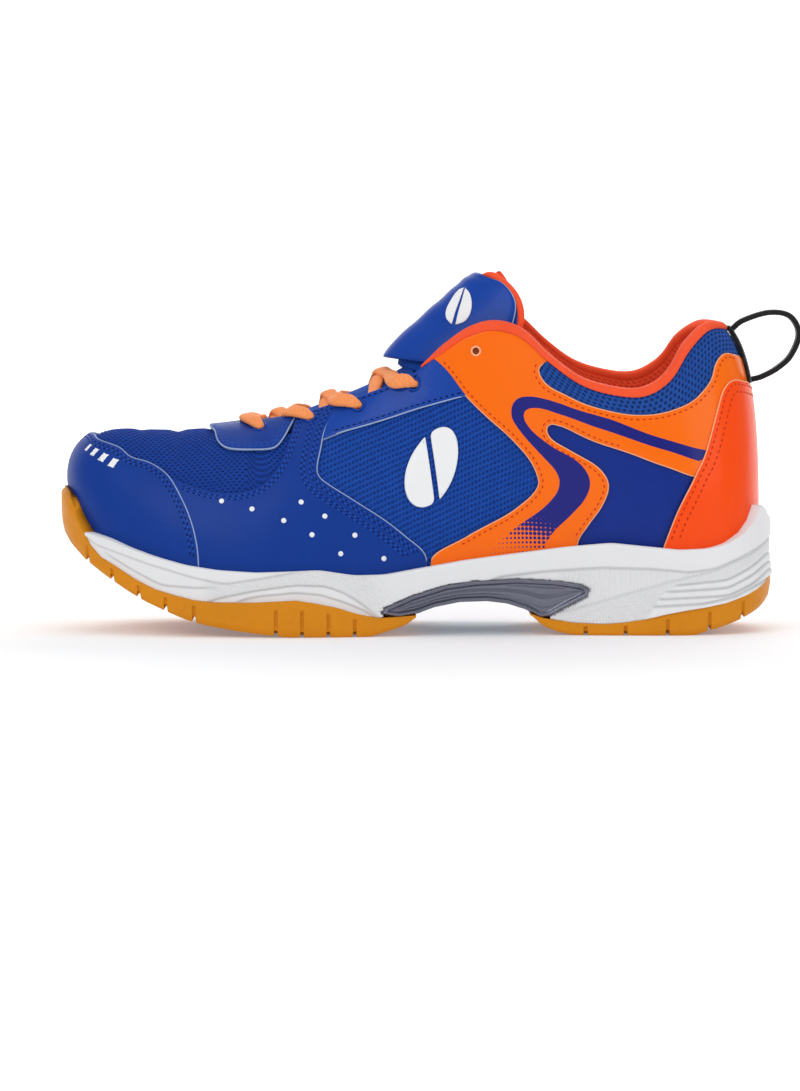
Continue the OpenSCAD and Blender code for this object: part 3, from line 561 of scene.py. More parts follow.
def foam():
    f = Finish("white_foam", srgb(232, 233, 235), 0.62, vary=0.03, patch=40)
    f.bsdf.inputs["Subsurface Weight"].default_value = 0.08
    f.bsdf.inputs["Subsurface Radius"].default_value = (0.003, 0.003, 0.003)
    xyz = f.nodes.new("ShaderNodeSeparateXYZ")
    f.link(f.where.outputs["UV"], xyz.inputs[0])
    s, z = xyz.outputs[0], xyz.outputs[1]
    # painted shade: grey in the grooves along the moulded lines, from the line mask
    f.tint(f.math("MULTIPLY", f.attr("line"), 0.42), srgb(132, 134, 138))
    turn = 2 * math.pi * 10
    slant = f.math("SINE", f.math("MULTIPLY", f.math("ADD", s, z), turn / 1.3))
    back = f.math("SINE", f.math("MULTIPLY", f.math("SUBTRACT", s, z), turn / 1.3))
    upright = f.math("SINE", f.math("MULTIPLY", s, turn / 1.0))
    cross = f.math("MAXIMUM", slant, back)
    f.bump(f.math("MULTIPLY", slant, f.attr("slant")), 0.3, 0.5)
    f.bump(f.math("MULTIPLY", cross, f.attr("cross")), 0.34, 0.5)
    f.bump(f.math("MULTIPLY", upright, f.attr("upright")), 0.24, 0.5)
    return f.bump(f.noise(2400, 4), 0.08, 0.4).done()


white_foam = foam()


def shank_plastic():
    f = Finish("gunmetal_plastic", srgb(112, 114, 130), 0.22, metal=0.8, coat=0.6, vary=0.12, patch=45, shine=0.5)
    return f.bump(f.noise(900, 3, (0.12, 1, 1)), 0.12, 0.25).done()


gunmetal = shank_plastic()


def webbing():
    f = Finish("black_webbing", srgb(16, 16, 19), 0.7, sheen=0.25, vary=0.2, patch=400)
    f.tint(f.math("MULTIPLY", f.attr("pit"), 0.5), srgb(52, 52, 58))
    return f.bump(f.noise(3000, 4), 0.15, 0.5).done()


black_web = webbing()


def lace_cord():
    f = Finish("lace_braid", srgb(255, 156, 92), 0.68, sheen=0.08, vary=0.08, patch=260)
    # painted shade: the braid's pits are darkened to a deeper orange
    f.tint(f.math("MULTIPLY", f.attr("pit"), 0.55), srgb(226, 104, 52))
    return f.bump(f.noise(4200, 4), 0.1, 0.4).done()


lace_braid = lace_cord()
clear_tip = Finish("lace_tip_film", srgb(214, 216, 220), 0.18, coat=0.6, vary=0.04).done()
board_fibre = Finish("board_fibre", srgb(196, 172, 130), 0.85, vary=0.15, patch=800).done()
stiff_fibre = Finish("stiffener_fibre", srgb(58, 58, 62), 0.8, vary=0.15, patch=800).done()


def insole_cloth():
    f = Finish("insole_cloth", srgb(250, 100, 66), 0.85, sheen=0.3, vary=0.1, patch=300)
    return f.bump(f.voronoi(900), 0.25, 0.5).bump(f.noise(3600, 4), 0.1, 0.4).done()


insole_top = insole_cloth()
soft_foam = Finish("collar_foam", srgb(236, 214, 120), 0.9, vary=0.08, patch=700).done()


# ---------------------------------------------------------------- layers of cloth
def pits(u, w, across, up, rx, ry, wave=0.0):
    """Rows of open cells, every second row half a cell along; u and w in mm. 1 in the middle of a cell."""
    w = w + wave * np.sin(u / 7.3) + 0.5 * wave * np.sin(u / 2.9 + w / 11)
    row = np.floor(w / up)
    du = (u / across + 0.5 * (row % 2)) % 1 - 0.5
    dw = (w / up) % 1 - 0.5
    return np.clip(1.25 - (du / rx) ** 2 - (dw / ry) ** 2, 0, 1)


def merge_seams(obj, reach=0.00002):
    import bmesh
    bm = bmesh.new()
    bm.from_mesh(obj.data)
    bmesh.ops.remove_doubles(bm, verts=bm.verts, dist=reach)
    bm.to_mesh(obj.data)
    bm.free()
    obj.data.polygons.foreach_set("use_smooth", np.ones(len(obj.data.polygons), bool))
    obj.data.update()


def cloth_layer(name, ks, low, high, rows, depth, mat, sides=(LATERAL, MEDIAL), pattern=None, relief=0.35,
                thick=0.9, padding=0.0, body="shoe", crease=None):
    """Fine grid of a fabric over the stations ks, between two edges. pattern(k, v, p, s, w) gives the pits;
    s runs along the piece and w down from its top, in mm."""
    ks = np.asarray(ks, float)
    lo = value(ks, low) if isinstance(low, list) else np.full(len(ks), float(low))
    hi = high(ks) if callable(high) else value(ks, high) if isinstance(high, list) else np.full(len(ks), float(high))
    verts, faces, pit_all, uv_all = [], [], [], []
    for side in sides:
        t = np.linspace(0, 1, rows)
        k = np.repeat(ks[:, None], rows, 1)
        v = lo[:, None] + (hi - lo)[:, None] * t[None]
        p = place(k.ravel(), v.ravel(), 0, side).reshape(len(ks), rows, 3)
        mid = p[:, int(rows * 0.85)]
        s = np.concatenate([[0], np.cumsum(np.linalg.norm(np.diff(mid, axis=0), axis=1))])[:, None] + 0 * v
        down = np.linalg.norm(np.diff(p, axis=1), axis=2)
        w = np.concatenate([np.cumsum(down[:, ::-1], 1)[:, ::-1], np.zeros((len(ks), 1))], 1)
        pit = pattern(k, v, p, s, w) if pattern else np.zeros_like(k)
        extra = -padding * pad(k, v) if padding else crease(p, v) if crease else 0
        d = depth - relief * pit + extra
        outer = place(k.ravel(), v.ravel(), d.ravel() if np.ndim(d) else d, side)
        edge = np.concatenate([np.arange(rows), np.arange(1, len(ks)) * rows + rows - 1,
                               (len(ks) - 1) * rows + np.arange(rows - 2, -1, -1),
                               np.arange(len(ks) - 2, 0, -1) * rows])
        e_depth = (d.ravel()[edge] if np.ndim(d) else d) - thick
        rim = place(k.ravel()[edge], v.ravel()[edge], e_depth, side)
        base = sum(len(x) for x in verts)
        grid = grid_faces(len(ks), rows, False, base)
        n = len(outer)
        ring = [[base + edge[i], base + edge[(i + 1) % len(edge)], base + n + (i + 1) % len(edge), base + n + i]
                for i in range(len(edge))]
        if side == LATERAL:
            grid, ring = [f[::-1] for f in grid], [f[::-1] for f in ring]
        faces += [f[::-1] for f in grid] + ring
        verts += [outer, rim]
        pit_all += [pit.ravel(), pit.ravel()[edge]]
        uv = np.column_stack([s.ravel(), w.ravel()]) / 10
        uv_all += [uv, uv[edge]]
    obj = make_object(name, np.vstack(verts), faces, mat, body, None, True, {"pit": np.concatenate(pit_all)},
                      np.vstack(uv_all))
    if len(sides) == 2:
        merge_seams(obj)
    return obj


def pad(k, v):
    a = value(k, [[0, 0], [14.6, 0], [17, 3], [20, 4.5], [23, 4], [25, 3.5]])
    b = value(v, [[0, 0], [0.55, 0], [0.72, 0.6], [0.86, 1], [0.96, 0.7], [1, 0.4]])
    return np.maximum(a, 0) * np.maximum(b, 0)


SETBACK = [[7, 0.999], [7.3, 0.86], [7.8, 0.8], [15, 0.8], [15.3, 0.86], [15.7, 0.96], [16, 1], [25, 1]]


def inner_top(k):
    return np.where(k < 7.001, 1.0, value(k, SETBACK))


COLLAR_LOW = [
    [16.3, 0.84], [17.4, 0.858], [18.25, 0.876], [19.1, 0.874], [19.95, 0.867], [20.9, 0.822],
    [21.7, 0.762], [22.3, 0.757], [22.7, 0.8], [23.2, 0.81], [23.9, 0.787], [25, 0.754],
]


def stations(k0, k1, mm):
    return np.linspace(k0, k1, int((k1 - k0) * SCALE_K / mm) + 1)


def vamp_crease(p, v):
    """Soft folds across the ball of the foot, in mm."""
    folds = sum(h * np.exp(-(((p[..., 0] + 0.12 * np.abs(p[..., 1]) - x) / 2.6) ** 2))
                for x, h in ((-118, 0.5), (-103, 0.9), (-89, 0.8)))
    return -folds * np.clip((v - 0.55) * 4, 0, 1)


vamp = cloth_layer("vamp_mesh", stations(0, 9, 0.5), 0.0, inner_top, 215, -0.85, vamp_cloth,
                   pattern=lambda k, v, p, s, w: pits(p[..., 0], w, 2.3, 1.5, 0.36, 0.42, 0.5),
                   crease=vamp_crease)
for side, tag in ((LATERAL, "lateral"), (MEDIAL, "medial")):
    cloth_layer(
        "quarter_mesh_" + tag, stations(9.03, 16.3, 0.55), 0.0, inner_top, 150, -0.8, knit_cloth, (side,),
        pattern=lambda k, v, p, s, w: pits(p[..., 2] + 0.35 * p[..., 0], p[..., 0], 2.3, 1.45, 0.34, 0.4, 0.25))
    cloth_layer(
        "rear_panel_" + tag, stations(16.33, 24.98, 2.5), 0.0, [[a, b - 0.01] for a, b in COLLAR_LOW], 44, -0.8,
        window_leather, (side,))
collar_cloth = cloth_layer(
    "collar_mesh", stations(16.3, 25, 0.55), [[a, b - 0.015] for a, b in COLLAR_LOW], 0.992, 46, -0.15,
    diamond_cloth, relief=0.45, thick=1.1,
    pattern=lambda k, v, p, s, w: pits(s, w, 2.5, 1.9, 0.33, 0.4, 0.0))
vamp_inside = cloth_layer("vamp_lining", stations(0, 9, 2.2), 0.0, inner_top, 40, -3.7, lining_cloth, thick=0.8)
quarter_inside = cloth_layer(
    "quarter_lining", stations(9.03, 25, 0.9), 0.0, inner_top, 100, -3.9, lining_cloth, thick=0.5, padding=1.0,
    relief=0.3, pattern=lambda k, v, p, s, w: pits(s, w, 2.6, 1.5, 0.34, 0.42, 0.2))
toe_stiff = cloth_layer("toe_puff", stations(0, 4, 3), 0.06, [[0, 0.9], [2.6, 0.7], [4, 0.6]], 14, -2.2,
                        stiff_fibre, thick=1.1)
heel_stiff = cloth_layer("heel_counter", stations(19, 25, 3), 0.06, [[19, 0.3], [21, 0.5], [25, 0.54]], 14, -2.2,
                         stiff_fibre, thick=1.1)
collar_pad = cloth_layer("collar_foam", stations(16, 25, 3), 0.6, [[16, 0.9], [16.6, 0.97], [25, 0.98]], 12,
                         -2.2, soft_foam, thick=1.4)

# ---------------------------------------------------------------- overlays
toe_edge = [(0, 0.762), (0.9, 0.745), (1.8, 0.69), (2.99, 0.642), (3.63, 0.575), (4.33, 0.549), (4.93, 0.483),
            (5.4, 0.354), (5.65, 0.256), (5.79, 0.164), (5.84, 0.078), (5.84, 0.0)]
toe_upper = [(-a, b) for a, b in toe_edge[:0:-1]] + toe_edge
toe_cap = panel("toe_cap", [toe_upper, [(5.84, 0.0), (-5.84, 0.0)]], [blue_leather, pale_edge], base=-0.1, cut_mat=1)
vamp_low = [(4.93, 0.483), (5.36, 0.452), (5.91, 0.423), (6.3, 0.413), (6.82, 0.417), (7.33, 0.447),
            (7.75, 0.504), (8.1, 0.585), (8.39, 0.683), (8.66, 0.8), (8.84, 0.9), (8.95, 0.985)]
saddle_back = [(10.39, 0.985), (9.97, 0.888), (9.61, 0.758), (9.41, 0.645), (9.24, 0.55), (9.28, 0.498),
               (9.6, 0.448), (10.26, 0.371), (11.09, 0.276), (11.76, 0.183), (12.3, 0.099), (12.4, 0.0)]
DOTS = [(6.37, 0.371), (7.15, 0.341), (8.05, 0.296), (8.64, 0.381), (9.35, 0.314), (8.92, 0.235),
        (10.23, 0.223), (9.78, 0.149), (11.09, 0.111)]
EYELETS = [(7.62, 0.85), (9.3, 0.89), (10.65, 0.89), (12.2, 0.9), (14.3, 0.9)]
throat_low = [(5.72, 1.0), (5.82, 0.92), (6.01, 0.848), (6.16, 0.741), (6.4, 0.683), (6.77, 0.664),
              (7.34, 0.663), (7.96, 0.678), (8.31, 0.742), (8.62, 0.84), (8.8, 0.911), (8.93, 0.985)]
orange_front = [(12.84, 0.985), (13.28, 0.853), (13.8, 0.712), (14.49, 0.601), (15.35, 0.506), (15.86, 0.438),
                (16.08, 0.363), (15.99, 0.314), (15.6, 0.256), (14.86, 0.192), (13.69, 0.132), (12.6, 0.085),
                (12.5, 0.0)]
window_edge = [(17.02, 0.0), (17.08, 0.1), (17.37, 0.185), (17.79, 0.298), (18.05, 0.406), (18.03, 0.476),
               (17.75, 0.53), (17.09, 0.557), (16.61, 0.57), (16.47, 0.6), (16.55, 0.635), (16.78, 0.661),
               (17.36, 0.675), (18.73, 0.653), (19.95, 0.56), (20.98, 0.431), (21.6, 0.4), (23, 0.42), (24.97, 0.45)]
collar_edge = [(24.97, 0.756), (23.9, 0.787), (23.2, 0.812), (22.7, 0.802), (22.3, 0.759), (21.7, 0.764),
               (20.9, 0.824), (19.95, 0.869), (19.1, 0.876), (18.25, 0.878), (17.44, 0.862), (16.91, 0.846),
               (16.6, 0.852), (16.5, 0.889), (16.72, 0.945), (16.95, 0.985)]
PRINT = (
    [(14.23, 0.04), (15.12, 0.138), (16.02, 0.221), (16.52, 0.306), (16.69, 0.377), (16.59, 0.43), (16.22, 0.477),
     (15.74, 0.534), (15.38, 0.592), (15.34, 0.632), (15.44, 0.67), (15.68, 0.702), (16.02, 0.725), (16.45, 0.753),
     (16.83, 0.779), (17.36, 0.805), (18.19, 0.835), (18.95, 0.816), (20.16, 0.713), (21.6, 0.5)],
    [(21.26, 0.484), (20.07, 0.652), (18.84, 0.742), (17.85, 0.759), (16.76, 0.72), (16.16, 0.683), (15.88, 0.658),
     (15.76, 0.629), (15.83, 0.596), (16.11, 0.562), (16.59, 0.538), (17.21, 0.522), (17.51, 0.477), (17.56, 0.407),
     (17.32, 0.31), (16.86, 0.215), (16.39, 0.132), (16.07, 0.04)],
)
print_loop = np.vstack([smooth_stroke(s, 8) for s in PRINT]) * [SCALE_K, SCALE_V]


def print_depth(k, v, ground):
    """Signed distance in mm to the printed stripe's outline, positive inside it."""
    q = np.column_stack([k, v]) * [SCALE_K, SCALE_V]
    a, b = print_loop, np.roll(print_loop, -1, 0)
    ab = b - a
    t = np.clip(((q[:, None] - a[None]) * ab[None]).sum(2) / np.maximum((ab * ab).sum(1), 1e-9)[None], 0, 1)
    d = np.linalg.norm(q[:, None] - (a[None] + t[..., None] * ab[None]), axis=2).min(1)
    return np.where(inside(q, print_loop), d, -d)


def print_fade(k, v, ground):
    """0 where the stripe is solid, rising to 1 where its dots run out, down and to the front."""
    return np.clip((0.2 - v + (16.3 - k) * 0.05) * 5, 0, 1)


over = {}
for side, tag in ((LATERAL, "lateral"), (MEDIAL, "medial")):
    over["fore_" + tag] = panel(
        "forefoot_overlay_" + tag,
        [[(5.6, 0.0), (5.5, 0.3), (4.93, 0.44), (4.9, 0.47), (4.93, 0.483)], vamp_low, [vamp_low[-1], saddle_back[0]],
         saddle_back, [saddle_back[-1], (5.6, 0.0)]],
        [blue_leather, pale_edge], side, base=-0.55, holes=[EYELETS[1]] , cut_mat=1)
    over["stay_" + tag] = panel(
        "eyestay_" + tag,
        [[(9.5, 0.7), (10.31, 0.733), (11.26, 0.747), (12.04, 0.753), (12.86, 0.729), (14.1, 0.695)],
         [(14.1, 0.695), (13.6, 0.85), (13.15, 0.985)], [(13.15, 0.985), (10.2, 0.985)],
         [(10.2, 0.985), (9.8, 0.87), (9.5, 0.7)]],
        [blue_smooth, pale_edge], side, base=-0.7, holes=EYELETS[2:4], cut_mat=1)
    over["side_" + tag] = panel(
        "side_overlay_" + tag,
        [orange_front, [(12.5, 0.0), (17.02, 0.0)], window_edge, [(24.97, 0.45), (24.97, 0.756)], collar_edge,
         [(16.95, 0.985), (12.84, 0.985)]],
        [orange_film, orange_edge], side, base=-0.5, spacing=1.7, holes=[EYELETS[4]], hole_r=1.7, cut_mat=1,
        attrs={"print": print_depth, "fade": print_fade})
throat = panel(
    "throat_overlay",
    [throat_low, [(8.93, 0.985), (8.2, 0.985), (7.6, 0.985), (7.3, 0.987)],
     [(7.3, 0.987), (7.12, 0.992), (7.05, 1.0), (7.12, 1.008), (7.3, 1.013)],
     [(7.3, 1.013), (7.6, 1.015), (8.2, 1.015), (8.93, 1.015)], [(a, 2 - b) for a, b in throat_low[::-1]]],
    [blue_leather, pale_edge], MEDIAL, base=-0.35, thick=1.15, cut_mat=1,
    holes=[EYELETS[0], (EYELETS[0][0], 2 - EYELETS[0][1])])
heel_edge = [(19.55, 0.0), (19.6, 0.076), (20.18, 0.273), (20.98, 0.431), (21.42, 0.49), (22.14, 0.605),
             (22.61, 0.668), (23.12, 0.675), (23.9, 0.65), (25, 0.622)]
heel_cover = panel(
    "heel_cover", [heel_edge + [(50 - a, b) for a, b in heel_edge[-2::-1]], [(30.45, 0.0), (19.55, 0.0)]],
    [heel_orange, orange_edge], MEDIAL, base=0.5, thick=1.2, cut_mat=1)

# ---------------------------------------------------------------- sole
TOE_TOP = [(-151.5, 58.2), (-150.4, 57.8), (-148.8, 56)]
TOE_LOW = [(-151.5, 51), (-151.2, 45), (-149.6, 40), (-146.5, 35.6)]
GROUND_FORE = [(-140, 29.4), (-132, 23.8), (-123.6, 18.5), (-115.4, 13.9), (-107, 10.3), (-99, 7), (-90, 4.6),
               (-78, 2.6), (-66, 1), (-56, 0), (-24, 0), (-17, 2.2), (-10, 4.4), (-5, 8.4)]
GUM_FORE = [(-147.4, 54), (-144.1, 46), (-140.8, 40.4), (-138, 35.4), (-133.5, 30.8), (-127.7, 27.5),
            (-119.5, 22.6), (-111.3, 18.7), (-103, 16.4), (-95, 14.6), (-86.7, 13.8), (-70, 14), (-54, 14.8),
            (-45.7, 13.5), (-37.5, 11.8), (-29.3, 9.2), (-21, 7.5)]
SHANK_TOP = [(-20, 9), (-18.4, 11.7), (-7.6, 16.4), (6, 20.5), (17, 22), (34.6, 22.8), (50.2, 22), (60.5, 20.5),
             (63.5, 18.5)]
SHANK_LOW = [(-20, 9), (-13, 7.8), (-5.5, 9), (1.3, 11.5), (11.5, 13.5), (22.3, 13.8), (30.5, 12.8), (38, 10.4),
             (44, 7.2), (47.6, 7.6), (53.7, 11), (62.5, 15.7), (63.5, 18.5)]
GROUND_HEEL = [(39.5, 9), (44.5, 4), (48.6, 2.2), (53, 0.8), (58.8, 0), (106, 0), (112, 1.8), (118, 3.4),
               (124, 5.4), (130, 8), (134.5, 10.6), (138, 14.4), (139.3, 19)]
GUM_HEEL = [(39.5, 9), (45, 7), (56.8, 5.1), (69, 4.5), (77.3, 5.1), (85.5, 6.4), (93.7, 8.4), (101.9, 10),
            (110, 11.2), (118.3, 12.8), (126.5, 15.6), (130.6, 17.6), (134.7, 20.2), (138.9, 23.6)]
RIM = [(-140.8, 40.6), (-132, 38.6), (-122, 34.8), (-111, 31.4), (-99, 28.4), (-86, 26.6), (-70, 25.7),
       (-54, 26.2), (-44, 26.6), (-30, 24.4), (-18, 24.6), (-2, 27.4), (14, 30.2), (34, 32.8), (54, 35.4),
       (72, 37), (86, 35.6), (100, 34.2), (112, 34.6), (120, 36.6), (127, 40.6), (131.5, 45.4), (134.5, 51.6),
       (136.7, 49.5), (138.4, 46)]
DENSE_T = np.linspace(0, OUTLINE_END, 3401)
DENSE_X = np.maximum.accumulate(outline(DENSE_T)[:, 0])


def at_x(x, rows):
    rows = np.asarray(rows, float)
    return np.interp(x, rows[:, 0], rows[:, 1])


def eased(x, rows):
    """A rounded version of a straight-sided line."""
    return sum(at_x(x + d, rows) * w for d, w in ((-2.4, 0.15), (-1.2, 0.2), (0, 0.3), (1.2, 0.2), (2.4, 0.15)))


def step_up(d, width=0.35):
    return 0.5 + 0.5 * np.tanh(d / width)


def t_samples(x0, x1, step, fine=()):
    a, b = np.interp([x0, x1], DENSE_X, DENSE_T)
    ts = [np.arange(a, b, step), [b]]
    for x in fine:
        ts.append(np.interp(x + np.array([-1.0, -0.75, -0.6, 0, 0.6, 0.75, 1.0]), DENSE_X, DENSE_T))
    ts = np.unique(np.round(np.concatenate(ts), 5))
    return ts[(ts >= a) & (ts <= b)]


def lip_inset(ts, z):
    """How far in from the sole's outline the upper stands at height z."""
    ks = np.linspace(0, HEEL, 251)
    kt = curve(ks, STATIONS)[:, 0]
    k = np.interp(ts, kt, ks)
    vs = np.linspace(0, 0.6, 61)
    p = half_surface(np.repeat(k, 61), np.tile(vs, len(k))).reshape(len(k), 61, 3)
    edge, n = outline(ts), outline_normal(ts)
    best = np.argmin(np.abs(p[..., 2] - z[:, None]) + 0.02 * np.arange(61), axis=1)
    q = p[np.arange(len(k)), best]
    return np.clip(((edge - q[:, :2]) * n).sum(1), 1.2, 14)


def sole_loft(name, ts, rows, mats, attrs=None, body="shoe"):
    """rows: list of (share of the half width, inset, height) per ring point from the bottom centre, over
    the outer wall, to the top centre; inset and height are arrays over ts."""
    f = np.array([r[0] for r in rows], float)
    inset = np.stack([np.broadcast_to(r[1], ts.shape) for r in rows], 1)
    z = np.stack([np.broadcast_to(r[2], ts.shape) for r in rows], 1)
    o, n = outline(ts), outline_normal(ts)
    x = o[:, :1] - n[:, :1] * inset
    y = np.maximum(o[:, 1:] - n[:, 1:] * inset, 0) * f[None]
    side_a = np.stack([x, -y + sway(x), z], -1)
    side_b = np.stack([x, y + sway(x), z], -1)
    ring = np.concatenate([side_a, side_b[:, ::-1]], 1)
    m = ring.shape[1]
    faces = grid_faces(len(ts), m, True)
    arc = np.concatenate([[0], np.cumsum(np.linalg.norm(np.diff(o, axis=0), axis=1))])
    uv = np.stack([np.broadcast_to(arc[:, None], (len(ts), m)), ring[..., 2]], -1).reshape(-1, 2) / 10
    extra = {key: np.concatenate([val, val[:, ::-1]], 1).ravel() for key, val in (attrs or {}).items()}
    faces += [list(range(m))[::-1], list(range((len(ts) - 1) * m, len(ts) * m))]
    obj = make_object(name, ring.reshape(-1, 3), [f_[::-1] for f_ in faces], mats, body, None, True, extra, uv)
    merge_seams(obj, 0.00001)
    return obj


def tread(x, y_share, ts):
    """Depth of the tread's zigzag grooves under the foot."""
    y = outline(ts)[:, 1] * y_share
    zig = np.abs(((x / 9.0) % 1) - 0.5) * 9.0
    groove = np.abs((((y + zig) / 6.5) % 1) - 0.5) * 6.5
    return np.clip((groove - 2.55) / 0.45, 0, 1) * 1.3 * np.clip((0.86 - y_share) * 20, 0, 1)


def groove_at(x, centres, depth, half=0.7):
    d = np.min([np.abs(x - c) for c in centres], axis=0)
    return depth * np.clip((half + 0.12 - d) / 0.16, 0, 1)


def gum_rows(ts, low, top, grooves, side_grooves, bed_z, x_flat):
    x = outline(ts)[:, 0]
    cut = groove_at(x, grooves, 2.2)
    side_cut = groove_at(x, side_grooves, 2.2)
    flat = np.clip((x - x_flat[0]) / 6, 0, 1) * np.clip((x_flat[1] - x) / 6, 0, 1)
    tip = np.minimum(top - low, 2.5)
    rows = []
    for share in np.linspace(0, 0.955, 46):
        edge = np.clip((share - 0.72) * 30, 0, 1)
        z = low + np.maximum(np.maximum(cut, side_cut * edge), flat * tread(x, share, ts))
        rows.append((share, 0.9, np.minimum(z, top - 0.05)))
    both = np.maximum(cut, side_cut)
    rows.append((1, 0.9, np.minimum(low + both, top)))
    rows.append((1, 0.3, np.minimum(low + both + 0.12 * tip, top)))
    for h in np.linspace(0.3, 1, 14):
        rounding = 2.2 * np.clip((h - 0.7) / 0.3, 0, 1) ** 2 * np.clip((-144 - x) / 5, 0, 1)
        rows.append((1, 0.9 * (both > 1.1) * (h < 0.75) + rounding, low + (top - low) * h * 0.97))
    rows.append((1, 0.35 + 2.4 * np.clip((-144 - x) / 5, 0, 1), top))
    return rows, x


fore_x = t_samples(-151.5, -5.2, 0.045, [-139, -128.5, -117.5, -106.5, -95, -62, -51.5, -41, -30.5])
xf = outline(fore_x)[:, 0]
low_f = eased(xf, TOE_LOW + GROUND_FORE)
low_f = np.where(xf < -138, at_x(xf, TOE_LOW + GROUND_FORE), low_f)
top_f = at_x(xf, TOE_TOP + GUM_FORE + [(-5, 8.5)])
top_f = np.maximum(top_f, low_f + 0.2)
rows, _ = gum_rows(fore_x, low_f, top_f, [-139, -128.5, -117.5, -106.5, -95], [-62, -51.5, -41, -30.5], None,
                   (-138, -26))
lip = lip_inset(fore_x, top_f)
inner_z = np.minimum(top_f - 0.3, at_x(xf, BED) - 0.3)
rows += [(1, np.minimum(1.2, lip), top_f + 0.05), (1, lip + 0.3, np.minimum(top_f, top_f - 0.2)),
         (1, np.maximum(lip, 3.8) + 0.6, np.minimum(inner_z, top_f - 0.4))]
rows += [(share, np.maximum(lip, 3.8) + 0.6, np.minimum(inner_z, top_f - 0.4)) for share in (0.66, 0.33, 0)]
outsole_fore = sole_loft("outsole_forefoot", fore_x, rows, [gum])

heel_t = t_samples(39.7, 139.2, 0.05, [62, 78, 95, 112, 126])
xh = outline(heel_t)[:, 0]
low_h, top_h = eased(xh, GROUND_HEEL), at_x(xh, GUM_HEEL)
low_h = np.where(xh > 136, at_x(xh, GROUND_HEEL), low_h)
top_h = np.maximum(top_h, low_h + 0.2)
rows, _ = gum_rows(heel_t, low_h, top_h, [112, 126], [62, 78, 95], None, (46, 110))
rows += [(1, 1.2, top_h)] + [(share, 1.2, top_h) for share in (0.66, 0.33, 0)]
outsole_back = sole_loft("outsole_heel", heel_t, rows, [gum])

BAND_FORE = [(-141, 40), (-136, 36.2), (-113.5, 29), (-95, 23.9), (-82.8, 21.6), (-69.5, 23.6), (-54.2, 26.4),
             (-45, 28)]
BAND_HEEL = [(20, 21), (27.6, 23.9), (46, 26), (68.5, 27.5), (89, 27), (104.2, 25.6), (114.4, 27), (124.7, 31.1),
             (135, 36), (140, 39)]
SCOOP = [(-134, 34), (-121, 26.5), (-108.3, 20.4), (-95, 19.6), (-85, 20)]
RIDGE_A = [(-96, 9), (-90, 14), (-84.8, 15.7), (-69.5, 18.8), (-54.2, 20.9), (-41.9, 20.4), (-33.7, 17.3),
           (-25.5, 11.7), (-20, 7)]
RIDGE_B = [(-84, 10), (-76, 15), (-69.5, 16.4), (-54.2, 17.9), (-44, 17), (-33.7, 13.7), (-24.5, 9.6), (-20, 6)]
HATCH_UP = [(50, 8.6), (68.5, 13.7), (78.8, 16.8), (97.2, 21.9), (114.5, 26), (129.9, 32.1), (140, 38)]
HATCH_LOW = [(84.9, 5.6), (86, 7.6), (93.1, 16.8), (99.2, 20.9), (119.7, 22.9), (137, 32.3), (140, 34)]
RIBS_HEEL = [[(99.2, 20.2), (119.7, 22.0), (130, 26.8), (136.9, 31.4)], [(96.2, 17.6), (119.7, 18.8), (130, 23.4), (136.9, 28)],
             [(93, 14.6), (119.7, 15.7), (130, 20), (136.9, 25)], [(90, 11.6), (109.5, 12.7), (122, 15.2), (136.9, 21.8)]]


def ridge(d, width=0.5):
    return np.exp(-((d / width) ** 2))


def midsole_relief(x, z):
    """Height of the moulded lines over the sole's side, masks of its textures, and line, a mask of painted shade in the
    grooves along the lines.
    """
    fore, back = np.clip((-14 - x) / 12, 0, 1), np.clip((x - 14) / 12, 0, 1)
    band, heel_band = eased(x, BAND_FORE), eased(x, BAND_HEEL)
    line_a, line_b = eased(x, RIDGE_A), eased(x, RIDGE_B)
    scoop = fore * np.clip((x + 134) / 6, 0, 1) * np.clip((-84 - x) / 8, 0, 1)
    low_a, low_b = fore * np.clip((x + 94) / 6, 0, 1), fore * np.clip((x + 82) / 6, 0, 1)
    r = 0.7 - 0.7 * fore * step_up(band - z) - 0.4 * scoop * step_up(eased(x, SCOOP) - z)
    r = r - 0.6 * low_a * step_up(line_a - z) - 0.55 * low_b * step_up(line_b - z) - 0.7 * back * step_up(heel_band - z)
    below = step_up(heel_band - z)
    up, low = eased(x, HATCH_UP), eased(x, HATCH_LOW)
    zone = step_up(low - z, 0.4) * np.clip((x - 84) / 4, 0, 1)
    hatch = np.clip((x - 48) / 6, 0, 1)
    r = r + 0.35 * hatch * step_up(up - z) * below
    # line: mask of painted shade in the grooves along the moulded lines
    line = 0.7 * fore * ridge(z - band + 0.3) + scoop * ridge(z - eased(x, SCOOP)) + back * ridge(z - heel_band + 0.3)
    line = line + low_a * ridge(z - line_a) + low_b * ridge(z - line_b) + 0.6 * hatch * ridge(z - up) * below
    for rib in RIBS_HEEL:
        c = eased(x, rib)
        r = r + zone * (0.4 * step_up(c - z, 0.25) - 0.75 * ridge(z - c))
        line = line + 1.3 * zone * ridge(z - c, 0.45)
    slant = low_a * step_up(z - line_a) * step_up(band - z)
    cross = hatch * step_up(up - z) * (1 - zone) * below
    upright = hatch * np.clip((114 - x) / 6, 0, 1) * step_up(z - up) * below
    return r, slant, cross, upright, np.clip(line, 0, 1)


def smooth_rim(x):
    return np.where(x > 126, at_x(x, RIM), eased(x, RIM))


